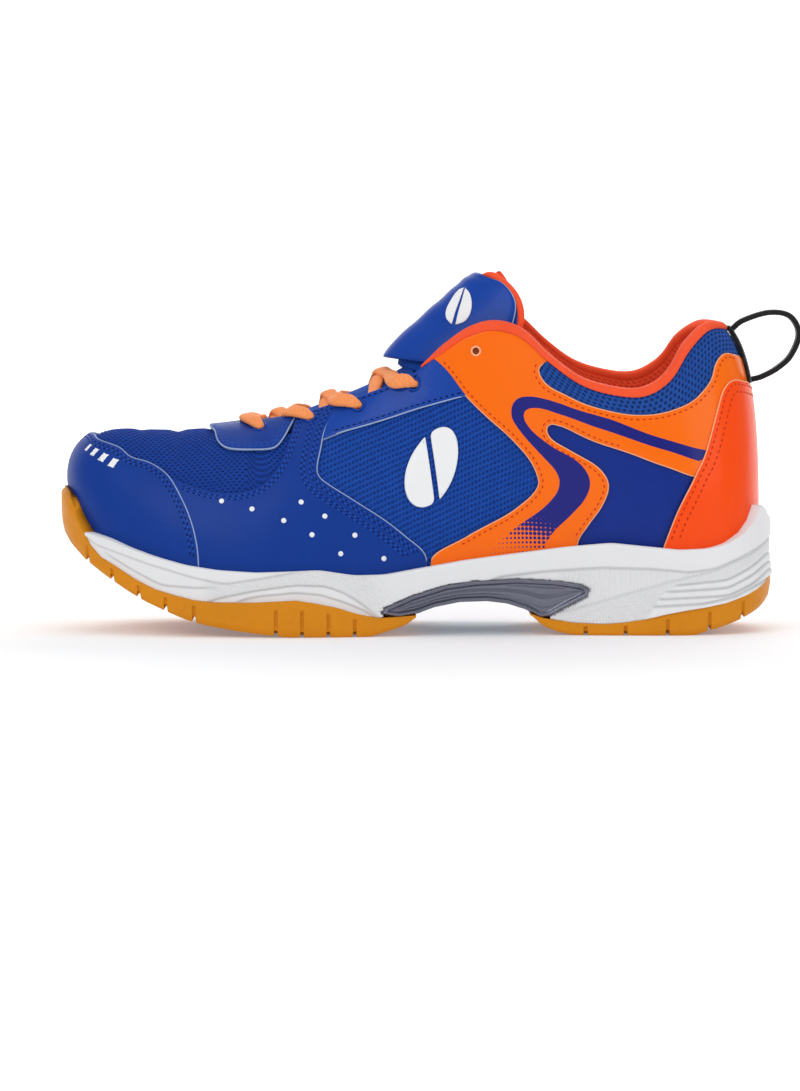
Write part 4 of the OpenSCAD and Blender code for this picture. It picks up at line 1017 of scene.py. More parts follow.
mid_t = t_samples(-140.6, 139.2, 0.045, [47.8])
xm = outline(mid_t)[:, 0]
low_m = np.where(xm < -21, at_x(xm, TOE_TOP + GUM_FORE) + 0.05,
                 np.where(xm < 47.8, at_x(xm, SHANK_TOP) - 2.2, at_x(xm, GUM_HEEL) + 0.05))
low_m = np.where((xm > -21) & (xm < -16), np.maximum(at_x(xm, SHANK_TOP) - 2.2, 7.6), low_m)
top_m = np.maximum(smooth_rim(xm), low_m + 0.15)
lip = lip_inset(mid_t, top_m)
shank_ring = np.array(SHANK_TOP + SHANK_LOW[-2:0:-1], float)
rows, masks = [], []
blank = [np.zeros_like(xm)] * 5
level = np.where(xm < -21, low_m, np.where(xm < 47.8, np.interp(xm, [-21, 47.8], [7.5, 4.6]), low_m))
for share in np.linspace(0, 1, 6):
    rows.append((share, 1.6, low_m))
    masks.append(blank)
for h in np.linspace(0.0, 1, 52):
    z = np.maximum(level + (top_m - level) * h * 0.975, low_m)
    relief = midsole_relief(xm, z)
    hidden = inside(np.column_stack([xm, z]), shank_ring)
    rows.append((1, np.where(hidden, 2.6, 0.75 - relief[0]), z))
    masks.append(relief)
bed_m = np.minimum(at_x(xm, BED) - 0.2, top_m - 0.3)
for inset, z in ((0.35, top_m), (1.0, top_m + 0.2), (lip * 0.7, top_m + 0.15), (lip + 0.5, top_m - 0.3),
                 (np.maximum(lip, 3.8) + 1.0, bed_m)):
    rows.append((1, inset, z))
    masks.append(blank)
for share in (0.7, 0.35, 0):
    rows.append((share, np.maximum(lip, 3.8) + 1.0, bed_m))
    masks.append(blank)
# line carries the painted groove shade to the foam material
midsole = sole_loft("midsole", mid_t, rows, [white_foam], {
    key: np.stack([m[i] for m in masks], 1) for i, key in ((1, "slant"), (2, "cross"), (3, "upright"), (4, "line"))})


def ring_distance(q, ring):
    a, b = ring, np.roll(ring, -1, 0)
    ab = b - a
    t = np.clip(((q[:, None] - a[None]) * ab[None]).sum(2) / (ab * ab).sum(1)[None], 0, 1)
    return np.linalg.norm(q[:, None] - (a[None] + t[..., None] * ab[None]), axis=2).min(1)


shank_t = t_samples(-19.9, 63.45, 0.045)
shank_t = np.unique(np.concatenate([shank_t, np.interp([-19.5, -19, -18.5, -18, 60, 60.5, 61, 61.5, 62, 62.3, 62.6, 62.9, 63.1, 63.3], DENSE_X,
                                                    DENSE_T)]))
xs = outline(shank_t)[:, 0]
low_s, top_s = at_x(xs, SHANK_LOW), at_x(xs, SHANK_TOP)
top_s = np.maximum(top_s, low_s + 0.1)
rows = [(share, 1.4, low_s) for share in np.linspace(0, 1, 8)]
for h in np.linspace(0, 1, 40):
    z = low_s + (top_s - low_s) * h
    d = ring_distance(np.column_stack([xs, z]), shank_ring)
    rim = np.exp(-(((d - 1.0) / 0.75) ** 2))
    streak = 0.55 * np.abs(np.sin(math.pi * (h * 3.0 + 0.1))) * np.clip((d - 2) / 1.5, 0, 1)
    edge = np.clip(d / 0.5, 0, 1)
    rows.append((1, 1.3 - 1.3 * np.sqrt(edge) - 0.75 * rim + 0.75 * np.clip((d - 1.4) / 0.9, 0, 1) - streak, z))
rows += [(share, 1.4, top_s) for share in (1, 0.5, 0)]
shank = sole_loft("arch_shank", shank_t, rows, [gunmetal])

# ---------------------------------------------------------------- inside of the shoe
def bed_slab(name, inset, low, high, mats, body, hollow=0.0, step=0.11):
    ts = t_samples(-151.5 + 0.01, 139.19, step)
    x = outline(ts)[:, 0]
    edge = outline(ts) - outline_normal(ts) * inset
    xe = edge[:, 0]
    rows = [(share, inset + 0.6, at_x(xe, BED) + low) for share in np.linspace(0, 1, 8)]
    rows += [(1, inset + 0.15, at_x(xe, BED) + low + 0.5), (1, inset, at_x(xe, BED) + (low + high) / 2),
             (1, inset + 0.15, at_x(xe, BED) + high - 0.5 + hollow), (1, inset + 0.8, at_x(xe, BED) + high + hollow)]
    rows += [(share, inset + 0.8, at_x(xe, BED) + high + hollow * share**4) for share in np.linspace(0.96, 0, 16)]
    return sole_loft(name, ts, rows, mats, None, body)


board = bed_slab("lasting_board", 7.2, 0.1, 1.3, [board_fibre], "shoe")
liner = bed_slab("insole", 13.2, 1.9, 5.6, [insole_top], "sock_liner", 0.6)

# padded roll round the foot opening
roll_k = np.concatenate([np.linspace(12.4, 25, 90), 50 - np.linspace(25, 12.4, 90)[1:]])
k_in = np.where(roll_k > 25, 50 - roll_k, roll_k)
roll_side = np.where(roll_k > 25, -1, 1)
verts = []
PROFILE = [(0.6, -1.5), (1.1, -0.9), (1.25, 0), (1.1, 1.0), (0.5, 1.9), (-0.5, 2.5)]
for k, side in zip(k_in, roll_side):
    one = np.array([k])
    depth = float(-4.5 - pad(one, np.array([1.0]))[0])
    size = min((k - 12.2) / 0.9, 1)
    n = surface_normal(one, np.ones(1))[0]
    n = n if k < 24.99 else n * [1, 0, 1]
    rise = unit(wide_surface(one, np.ones(1)) - wide_surface(one, np.array([0.94])))[0]
    rise = rise if k < 24.99 else rise * [1, 0, 1]
    top = half_surface(one, np.ones(1))[0]
    ring = PROFILE + [(depth * 0.5 - 0.2, 3.0), (depth + 0.9, 2.6), (depth + 0.1, 2.0), (depth, 0.4),
                      (depth + 0.3, -1.6), (depth * 0.5, -1.2)]
    for a, b in ring:
        q = top + n * (a if size >= 1 else a * size - (1 - size) * 0.6) + rise * (b * size)
        q = q * [1, side, 1]
        verts.append([q[0], q[1] + float(sway(q[:1])[0]), q[2]])
roll = make_object("collar_roll", verts, [f[::-1] for f in grid_faces(len(roll_k), 12, True)]
                   + [list(range(12)), list(range(len(verts) - 12, len(verts)))[::-1]], [binding_cloth])
roll.modifiers.new("soft", "SUBSURF").levels = 1
roll.modifiers["soft"].render_levels = 1


# ---------------------------------------------------------------- tongue
def strap(name, path, mats, body, corners=18, power=0.62, weave=None, round_ends=True):
    """Flat band with rounded edges along rows of [point, up, width, thickness]."""
    p, up = path[:, :3], path[:, 3:6]
    ahead = unit(np.gradient(p, axis=0))
    side = unit(np.cross(ahead, up))
    up = np.cross(side, ahead)
    s = np.concatenate([[0], np.cumsum(np.linalg.norm(np.diff(p, axis=0), axis=1))])
    a = np.linspace(0, 2 * np.pi, corners, endpoint=False)
    ca, sa = np.sign(np.cos(a)) * np.abs(np.cos(a)) ** power, np.sign(np.sin(a)) * np.abs(np.sin(a)) ** power
    w, t = path[:, 6:7] / 2, path[:, 7:8] / 2
    cell = weave(s[:, None], (a / (2 * np.pi))[None] * (2 * path[:, 6:7] + 3)) if weave else 0 * (s[:, None] + a[None])
    grow = 1 - 0.1 * cell
    ring = (p[:, None] + side[:, None] * (w * ca * grow)[..., None] + up[:, None] * (t * sa * grow)[..., None])
    n = len(p)
    verts = ring.reshape(-1, 3)
    faces = [f[::-1] for f in grid_faces(n, corners, True)]
    if round_ends:
        tips = np.vstack([p[0] - ahead[0] * t[0] * 0.5, p[-1] + ahead[-1] * t[-1] * 0.5])
        verts = np.vstack([verts, tips])
        m = n * corners
        faces += [[m, j, (j + 1) % corners] for j in range(corners)]
        faces += [[m + 1, m - corners + (j + 1) % corners, m - corners + j] for j in range(corners)]
        cell = np.concatenate([np.ravel(cell), [0, 0]])
    obj = make_object(name, verts, faces, mats, body, None, True, {"pit": np.ravel(cell)})
    return obj


def crown(k):
    return value(k, [[7.4, 2.2], [8.5, 4.4], [10, 5.2], [12.4, 5.6]])


LEAN = np.array([-0.28, 0, 0.96])


def over_throat(k, w, h):
    k = np.atleast_1d(np.asarray(k, float))
    a, b = place(k, np.ones_like(k), -5, LATERAL), place(k, np.ones_like(k), -5, MEDIAL)
    w, h = np.broadcast_to(w, k.shape)[:, None], np.broadcast_to(h, k.shape)[:, None]
    return (a + b) / 2 + (b - a) / 2 * w + LEAN * h


def tongue_line(k, depth):
    one = lambda v, side: place(np.array([k]), np.array([v]), -5 - depth, side)
    w = np.linspace(-1, 1, 25)
    kk = np.full(25, k)
    top = over_throat(kk, w, crown(kk) * (1 - w * w)) - LEAN * depth * 0.97
    return np.vstack([one(0.87, LATERAL), one(0.93, LATERAL), top, one(0.93, MEDIAL), one(0.87, MEDIAL)])


def shell(name, outer, inner, mats, body, split=True, attrs=None, bulge=0.5):
    """Closed padded piece between two grids of points; the rim is rounded."""
    mid_a, mid_b = (outer[:, 0] + inner[:, 0]) / 2, (outer[:, -1] + inner[:, -1]) / 2
    out_a, out_b = unit(outer[:, 0] - outer[:, 2]), unit(outer[:, -1] - outer[:, -3])
    thick = np.linalg.norm(outer - inner, axis=2)
    mid_a, mid_b = mid_a + out_a * thick[:, :1] * bulge, mid_b + out_b * thick[:, -1:] * bulge
    ring = np.concatenate([outer, mid_b[:, None], inner[:, ::-1], mid_a[:, None]], 1)
    m = ring.shape[1]
    middle = np.concatenate([(outer + inner) / 2, mid_b[:, None], (outer + inner)[:, ::-1] / 2, mid_a[:, None]], 1)
    first = middle[0] + (middle[0] - middle[1]) / np.maximum(np.linalg.norm(middle[0] - middle[1], axis=1), 0.1)[:, None] * 0.8
    last = middle[-1] + (middle[-1] - middle[-2]) / np.maximum(np.linalg.norm(middle[-1] - middle[-2], axis=1), 0.1)[:, None] * 0.8
    ring = np.concatenate([first[None], ring, last[None]])
    faces = grid_faces(len(ring), m, True)
    cols = np.tile(np.arange(m), len(ring) - 1)
    side = (cols >= outer.shape[1] - 1).astype(int) if split else np.zeros(len(cols), int)
    uv = np.stack(np.meshgrid(np.arange(len(ring)), np.arange(m), indexing="ij"), -1).reshape(-1, 2) * 0.1
    a, b, c = ring[2, 4], ring[3, 4], ring[2, 5]
    outwards = np.cross(b - a, c - a) @ (outer[1, 4] - inner[1, 4]) < 0
    if outwards:
        faces = [f[::-1] for f in faces]
    obj = make_object(name, ring.reshape(-1, 3), faces, mats, body, side, True, attrs, uv)
    merge_seams(obj, 0.00001)
    return obj


tongue_k = np.linspace(7.5, 12.1, 56)
grid_out = np.array([tongue_line(k, 0) for k in tongue_k])
grid_mid = np.array([tongue_line(k, 3.4) for k in tongue_k])
grid_in = np.array([tongue_line(k, 4.5) for k in tongue_k])
tongue = shell("tongue", grid_out, grid_mid, [knit_cloth, lining_cloth], "shoe")
tongue_inside = shell("tongue_lining", grid_mid - LEAN * 0.2, grid_in, [lining_cloth], "shoe", False)
TOP_ROWS = [[i] + r for i, r in enumerate([
    [-13, 107, 0, 18.5, 102], [-10.5, 116.5, 22, 20.5, 112.2], [-2, 125.6, 34, 21.5, 120.5],
    [6, 133.4, 36, 21, 128.9], [12.4, 139.4, 34, 19, 136], [17, 142.9, 29.5, 15.5, 141.2],
    [20.5, 144.4, 23.5, 11, 144.2],
])]


def top_point(s, w):
    r = curve(s * 6, TOP_ROWS)
    q = w * w
    return np.stack([r[..., 0] + (r[..., 2] - r[..., 0]) * q, r[..., 3] * w, r[..., 1] + (r[..., 4] - r[..., 1]) * q], -1)


def top_at(s, w, depth):
    e = 0.02
    s0, s1, w0, w1 = np.maximum(s - e, 0), np.minimum(s + e, 1), np.maximum(w - e, -1), np.minimum(w + e, 1)
    n = unit(np.cross(top_point(s1, w) - top_point(s0, w), top_point(s, w1) - top_point(s, w0)))
    return top_point(s, w) - n * np.broadcast_to(depth, s.shape)[..., None] + [0, float(sway(np.array([-10.0]))[0]), 0]


def corner(s):
    """Share of the free top's width near its end, where its corners are rounded."""
    return 1 - 0.2 * (1 - np.sqrt(1 - np.clip((s - 0.93) / 0.06, 0, 1) ** 2))


def top_grid(s0, s1, w1, depth, ns=48, nw=49):
    s, w = np.meshgrid(np.linspace(s0, s1, ns), np.linspace(-w1, w1, nw), indexing="ij")
    w = w * corner(s)
    return top_at(s, w, depth(s, w) if callable(depth) else depth)


def plump(s, w):
    """The free top is quilted a little and thins towards its edges."""
    e = np.maximum(np.abs(w), np.clip((s - 0.75) * 4, 0, 1))
    return -0.9 * (1 - e**4) + 0.12 * np.sin(s * 40) * (1 - e**2)


tongue_free = shell("tongue_top", top_grid(0.02, 0.98, 0.99, plump), top_grid(0.02, 0.98, 0.99, 2.1), [knit_cloth, lining_cloth],
                    None)
tongue_free_in = shell("tongue_top_lining", top_grid(0.02, 0.95, 0.98, 2.2), top_grid(0.02, 0.95, 0.98, 5.2), [lining_cloth],
                       None, False, None, 0.55)


def lip_out(s):
    return 6.4 * np.clip((0.6 - s) / 0.47, 0, 1) ** 1.2 * np.array([-0.9, 0, -0.5])


def pad_layer(depth):
    """The pad over the free top; its lower edge stands off the tongue as a lip."""
    s = np.linspace(0.13, 0.985, 48)[:, None, None]
    return top_grid(0.13, 0.985, 0.98, lambda s, w: plump(s, w) + depth) + lip_out(s)


pad_outer, pad_inner = pad_layer(-1.3), pad_layer(-0.15)
tongue_patch = shell("tongue_pad", pad_outer, pad_inner, [blue_smooth, pale_edge], None, True, None, 0.3)



def tongue_rim():
    """Bound edge of the free top: a soft roll down both sides and over its end."""
    down = np.linspace(0.06, 0.93, 40)
    round_s = 0.93 + 0.06 * np.sin(np.linspace(0, np.pi / 2, 8))
    round_w = corner(round_s)
    s = np.concatenate([down, round_s, np.full(24, 0.99)])
    w = np.concatenate([np.full(40, -1.0), -round_w, np.linspace(-0.78, 0.78, 24)])
    s, w = np.append(s, s[:48][::-1]), np.append(w, -w[:48][::-1])
    p, q = top_at(s, w, 1.0 * np.ones_like(s)), top_at(s, w, 3.0 * np.ones_like(s))
    up = unit(p - q)
    for _ in range(8):
        p[1:-1] = (p[:-2] + 2 * p[1:-1] + p[2:]) / 4
        up[1:-1] = unit(up[:-2] + 2 * up[1:-1] + up[2:])
    line = np.column_stack([p, up, np.full(len(s), 2.9), np.full(len(s), 3.3)])
    return strap("tongue_rim", line, [binding_cloth], None, 14, 1.0)


def pad_mark(name, keep, s0=0.5, w0=-0.5, rs=0.13, rw=0.12):
    """Half of a small plain oval print on the pad, on one side of its gap."""
    u, t = np.meshgrid(np.linspace(-0.985, 0.985, 16), np.linspace(-1, 1, 8), indexing="ij")
    s, w = s0 + rs * u, w0 + rw * (t + keep) / 2 * np.sqrt(1 - u * u) + 0.018 * keep + 0.1 * u
    return shell(name, top_at(s, w, plump(s, w) - 1.75) + lip_out(s[..., None]),
                 top_at(s, w, plump(s, w) - 1.2) + lip_out(s[..., None]), [white_ink], None, False, None, 0.2)


marks = [pad_mark("pad_mark_a", -1), pad_mark("pad_mark_b", 1)]

rim_roll = tongue_rim()
# the free top's pieces have their placement baked into their own points
for piece in (tongue_free, tongue_free_in, tongue_patch, *marks, rim_roll):
    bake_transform(piece)

# ---------------------------------------------------------------- lace
LACE_W, LACE_T = 6.3, 2.7
UNDER_STRAND = [(-0.62, 4.0), (-0.3, 5.6), (0, 5.9), (0.32, 5.6), (0.6, 4.8)]
OVER_STRAND = [(-0.68, 4.4), (-0.36, 6.3), (0, 8.1), (0.36, 6.3), (0.68, 4.9)]


def row(p, up, w=LACE_W, t=LACE_T):
    return list(np.ravel(p)) + list(np.ravel(up)) + [w, t]


def spot(k, v, depth, side):
    return place(np.array([k]), np.array([v]), depth, side)[0]


def facing(k, v, side):
    return place_normal(np.array([k]), np.array([v]), side)[0]


def on_side(k, v, depth, side, w=LACE_W):
    return row(spot(k, v, depth, side), facing(k, v, side), w)


def through_eyelet(i, side):
    k, v = EYELETS[i]
    down = spot(k, v, 1.4, side) - spot(k, v - 0.05, 1.4, side)
    return [
        on_side(k - 0.5, 0.985, 2.1, side), on_side(k - 0.2, v + 0.045, 2.2, side, 5.8),
        row(spot(k, v, 1.4, side), unit(facing(k, v, side) * 0.6 - unit(down) * 0.8), 3.6, 1.9),
        row(spot(k, v, -0.4, side), -unit(down), 3.3, 1.9),
    ]


def crossing(i, start, strand):
    k0, k1 = EYELETS[i][0] + 0.3, EYELETS[i + 1][0] - 0.54
    rows = [on_side(k0 - 0.1, EYELETS[i][1] + 0.02, -2.3, start, 3.6), on_side(k0 + 0.1, 0.99, -2.5, start, 4.6)]
    for share, height in strand:
        k = k0 + 0.1 + (k1 - k0 - 0.1) * (share + 1) / 2
        rows.append(row(over_throat(k, -start * share, height + crown(np.array([k])) - 5.2)[0], LEAN))
    return rows


TUCK = [(12.45, 0.92, -2.5), (13, 0.91, -2.7), (13.6, 0.91, -2.8), (14.1, 0.9, -3.2), (14.6, 0.87, -5.2),
        (15, 0.81, -6.6), (15.3, 0.73, -6.6), (15.4, 0.64, -6.4), (15.1, 0.56, -6.4), (14.4, 0.52, -6.4),
        (13.5, 0.5, -6.4), (12.6, 0.49, -6.4)]


def climb(first):
    other = -first
    a, b = (OVER_STRAND, UNDER_STRAND) if first == MEDIAL else (UNDER_STRAND, OVER_STRAND)
    return (through_eyelet(0, first) + crossing(0, first, a) + through_eyelet(1, other) + crossing(1, other, b)
            + through_eyelet(2, first) + crossing(2, first, a) + through_eyelet(3, other)
            + [on_side(k, v, d, other, 4.4) for k, v, d in TUCK])


lace_rows = climb(LATERAL)[::-1] + [
    row(over_throat(EYELETS[0][0], 0, 7.9 + crown(np.array([7.6])) - 5.2)[0], LEAN)] + climb(MEDIAL)
lace_path = curve(np.linspace(0, len(lace_rows) - 1, (len(lace_rows) - 1) * 9 + 1),
                  [[i] + r for i, r in enumerate(lace_rows)])


def braid(s, r):
    return np.clip(1.4 * np.maximum(np.cos(2 * np.pi * (s / 1.9 + r / 2.6)), np.cos(2 * np.pi * (s / 1.9 - r / 2.6))) - 0.75, 0, 1)


fine = curve(np.linspace(0, len(lace_path) - 1, len(lace_path) * 3), [[i] + list(r) for i, r in enumerate(lace_path)])
lace = strap("lace", fine, [lace_braid], "shoe", 20, 0.7, braid)
for side, tag in ((LATERAL, "lateral"), (MEDIAL, "medial")):
    ends = np.array([on_side(k, v, -6.4, side, w) for k, v, w in
                     ((12.5, 0.49, 3.0), (12.0, 0.488, 2.7), (11.5, 0.484, 2.5), (11.0, 0.48, 2.4))])
    ends[:, 7] = 1.9
    tip = strap("lace_tip_" + tag, curve(np.linspace(0, 3, 13), [[i] + list(r) for i, r in enumerate(ends)]),
                [clear_tip], "shoe", 16, 0.85)
    over["tip_" + tag] = tip

# ---------------------------------------------------------------- heel loop
heel_low, heel_high = spot(25, 0.65, 2.0, MEDIAL), spot(25, 0.965, 2.0, MEDIAL)
loop_y = float(sway(np.array([120.0]))[0])
loop_points = [heel_high, heel_high + [4.4, 0, 3.4], [138, 0, 129.2], [146.6, 0, 127.8], [150.4, 0, 120.6],
               [147.2, 0, 111.8], heel_low + [10.5, 0, 4.6], heel_low + [4.2, 0, 1.2], heel_low]
loop_widths = [4.5, 7, 8.6, 9, 9, 9, 8.6, 7, 4.5]
loop_rows = []
for q, w in zip(loop_points, loop_widths):
    u = unit(np.array([q[0] - 139.0, 0, q[2] - 117.0]))
    loop_rows.append([q[0], loop_y, q[2], u[0], 0, u[2], w, 2.3])
loop_fine = curve(np.linspace(0, 8, 200), [[i] + r for i, r in enumerate(loop_rows)])


def ribbed(s, r):
    return np.clip(np.cos(2 * np.pi * s / 1.25) * 0.7 + np.cos(2 * np.pi * r / 1.5) * 0.6 - 0.3, 0, 1)


loop = strap("heel_loop", loop_fine, [black_web], "pull_loop", 34, 0.5, ribbed)
anchor_edge = [(24.5, 0.635), (24.5, 0.985), (25.5, 0.985), (25.5, 0.635)]
anchor = panel("heel_loop_anchor", [[a, b] for a, b in zip(anchor_edge, anchor_edge[1:] + anchor_edge[:1])],
               [black_web, black_web], MEDIAL, base=0.95, thick=1.2, spacing=1.2, soft=0.3,
               attrs={"pit": lambda k, v, g: ribbed(v * 85, k * 12)})

# ---------------------------------------------------------------- emblem, dots, eyelet rims and seams
def oval(cx, cy, rx, ry, lean, cut, keep):
    """Leaning oval cut by a slanting gap; keep is which side of the gap stays."""
    a = np.linspace(0, 2 * np.pi, 90, endpoint=False)
    x, y = rx * np.cos(a), ry * np.sin(a)
    side = x * math.cos(cut) + y * math.sin(cut)
    gap = 0.9
    side_cut = np.where(side * keep < gap, gap * keep - side, 0)
    x, y = x + side_cut * math.cos(cut), y + side_cut * math.sin(cut)
    steps = np.hypot(np.diff(np.append(x, x[0])), np.diff(np.append(y, y[0])))
    along = np.concatenate([[0], np.cumsum(steps)])
    even = np.linspace(0, along[-1], 90, endpoint=False)
    x, y = np.interp(even, along, np.append(x, x[0])), np.interp(even, along, np.append(y, y[0]))
    for _ in range(6):
        x, y = ((np.roll(q, 1) + 2 * q + np.roll(q, -1)) / 4 for q in (x, y))
    x, y = x * math.cos(lean) - y * math.sin(lean), x * math.sin(lean) + y * math.cos(lean)
    return [(cx + p / SCALE_K, cy + q / SCALE_V) for p, q in zip(x, y)]


for side, tag in ((LATERAL, "lateral"), (MEDIAL, "medial")):
    for i, keep in enumerate((-1, 1)):
        ring = oval(12.6, 0.45, 9.5, 14.2, -0.35, 0.45, keep)
        panel(f"side_emblem_{tag}_{'ab'[i]}", [ring + ring[:1]], [white_ink, white_ink], side,
                                base=-0.62, thick=1.0, spacing=1.5, soft=0.4)


TOE_BARS = [(1.62, 0.6), (2.14, 0.57), (2.62, 0.542), (3.06, 0.516)]
EYESTAY_LOW = [(9.9, 0.722), (10.31, 0.733), (11.26, 0.747), (12.04, 0.753), (12.86, 0.729), (13.7, 0.708)]


def small_discs(name, spots, side, radius, depth, height, mats, body="shoe"):
    verts, faces = [], []
    for k, v in spots:
        c, n = spot(k, v, depth, side), facing(k, v, side)
        dk, _ = metric(np.array([k]), np.array([v]), side)
        x = unit(dk[0] - n * (dk[0] @ n))
        y = np.cross(n, x)
        a = np.linspace(0, 2 * np.pi, 18, endpoint=False)
        base = len(verts)
        for r, h in ((1.0, -0.4), (1.0, 0.35), (0.9, 0.75), (0.6, 0.95)):
            verts += [c + (x * math.cos(q) + y * math.sin(q)) * radius * r + n * height * h for q in a]
        verts += [c + n * height, c - n * 0.4 * height]
        faces += [f for f in grid_faces(4, 18, True, base)]
        faces += [[base + 54 + i, base + 54 + (i + 1) % 18, base + 72] for i in range(18)]
        faces += [[base + (i + 1) % 18, base + i, base + 73] for i in range(18)]
    return make_object(name, verts, faces, mats, body)


def rims(name, spots, side, radius, wire, depth, mats, body="shoe"):
    verts, faces = [], []
    for k, v in spots:
        c, n = spot(k, v, depth, side), facing(k, v, side)
        dk, _ = metric(np.array([k]), np.array([v]), side)
        x = unit(dk[0] - n * (dk[0] @ n))
        y = np.cross(n, x)
        base = len(verts)
        for q in np.linspace(0, 2 * np.pi, 28, endpoint=False):
            out = x * math.cos(q) + y * math.sin(q)
            verts += [c + out * (radius + wire * math.cos(b)) + n * wire * 0.8 * math.sin(b)
                      for b in np.linspace(0, 2 * np.pi, 10, endpoint=False)]
        ring = grid_faces(29, 10, True, base)
        faces += [[base + (i - base) % 280 for i in f][::-1] for f in ring]
    return make_object(name, verts, faces, mats, body)


def offset_stroke(stroke, side, distance, spacing=0.8, fold=False):
    """A stroke moved sideways over the surface; positive distance is to its left."""
    kv = even_line(smooth_stroke(stroke), side, spacing)
    dk, dv = metric(kv[:, 0], kv[:, 1], side)
    ahead = np.gradient(kv, axis=0)
    along = unit(dk * ahead[:, :1] + dv * ahead[:, 1:])
    left = np.cross(unit(np.cross(dk, dv)), along)
    for _ in range(3):
        left = unit(left + np.roll(left, 1, 0) * (np.arange(len(left)) > 0)[:, None]
                    + np.roll(left, -1, 0) * (np.arange(len(left)) < len(left) - 1)[:, None])
    gkk, gkv, gvv = (dk * dk).sum(1), (dk * dv).sum(1), (dv * dv).sum(1)
    bk, bv = (left * dk).sum(1), (left * dv).sum(1)
    det = np.maximum(gkk * gvv - gkv**2, 1e-6)
    return kv + distance * np.column_stack([(bk * gvv - bv * gkv) / det, (bv * gkk - bk * gkv) / det])


def stitches(name, lines, side, depth, mats, step=2.5, length=1.75, width=0.62, body="shoe"):
    """Rows of raised thread: lines are lists of (station, share) points."""
    verts, faces = [], []
    ring_s = np.array([-0.5, -0.36, 0, 0.36, 0.5])
    ring_r = np.array([0.2, 0.85, 1.0, 0.85, 0.2])
    a = np.linspace(0, 2 * np.pi, 6, endpoint=False)
    for line in lines:
        kv = even_line(np.asarray(line), side, step)
        p, n = place(kv[:, 0], kv[:, 1], depth, side), place_normal(kv[:, 0], kv[:, 1], side)
        ahead = unit(np.gradient(p, axis=0))
        across = np.cross(n, ahead)
        for c, f, u, w in zip(p[1:-1], ahead[1:-1], n[1:-1], across[1:-1]):
            base = len(verts)
            for s, r in zip(ring_s, ring_r):
                lift = u * (-0.35 * (2 * s) ** 2)
                verts += [c + f * length * s + lift + (w * math.cos(q) + u * math.sin(q) * 0.8) * width / 2 * r
                          for q in a]
            faces += grid_faces(5, 6, True, base) + [[base + j for j in range(6)][::-1],
                                                     [base + 24 + j for j in range(6)]]
    return make_object(name, verts, faces, mats, body)


def beads(name, lines, side, depth, radius, mats, body="shoe"):
    """Thin rounded beads along lines of (station, share) points: edges of cut material, and dark painted shade along
    seams.
    """
    verts, faces = [], []
    a = np.linspace(0, 2 * np.pi, 8, endpoint=False)
    for line in lines:
        kv = even_line(np.asarray(line), side, 0.9)
        p, n = place(kv[:, 0], kv[:, 1], depth, side), place_normal(kv[:, 0], kv[:, 1], side)
        across = np.cross(n, unit(np.gradient(p, axis=0)))
        base, r = len(verts), radius * np.ones(len(p))
        r[0] = r[-1] = radius * 0.3
        verts += list((p[:, None] + r[:, None, None] * (across[:, None] * np.cos(a)[None, :, None]
                                                       + n[:, None] * np.sin(a)[None, :, None])).reshape(-1, 3))
        faces += grid_faces(len(p), 8, True, base)
        faces += [[base + j for j in range(8)][::-1], [len(verts) - 8 + j for j in range(8)]]
    return make_object(name, verts, faces, mats, body)


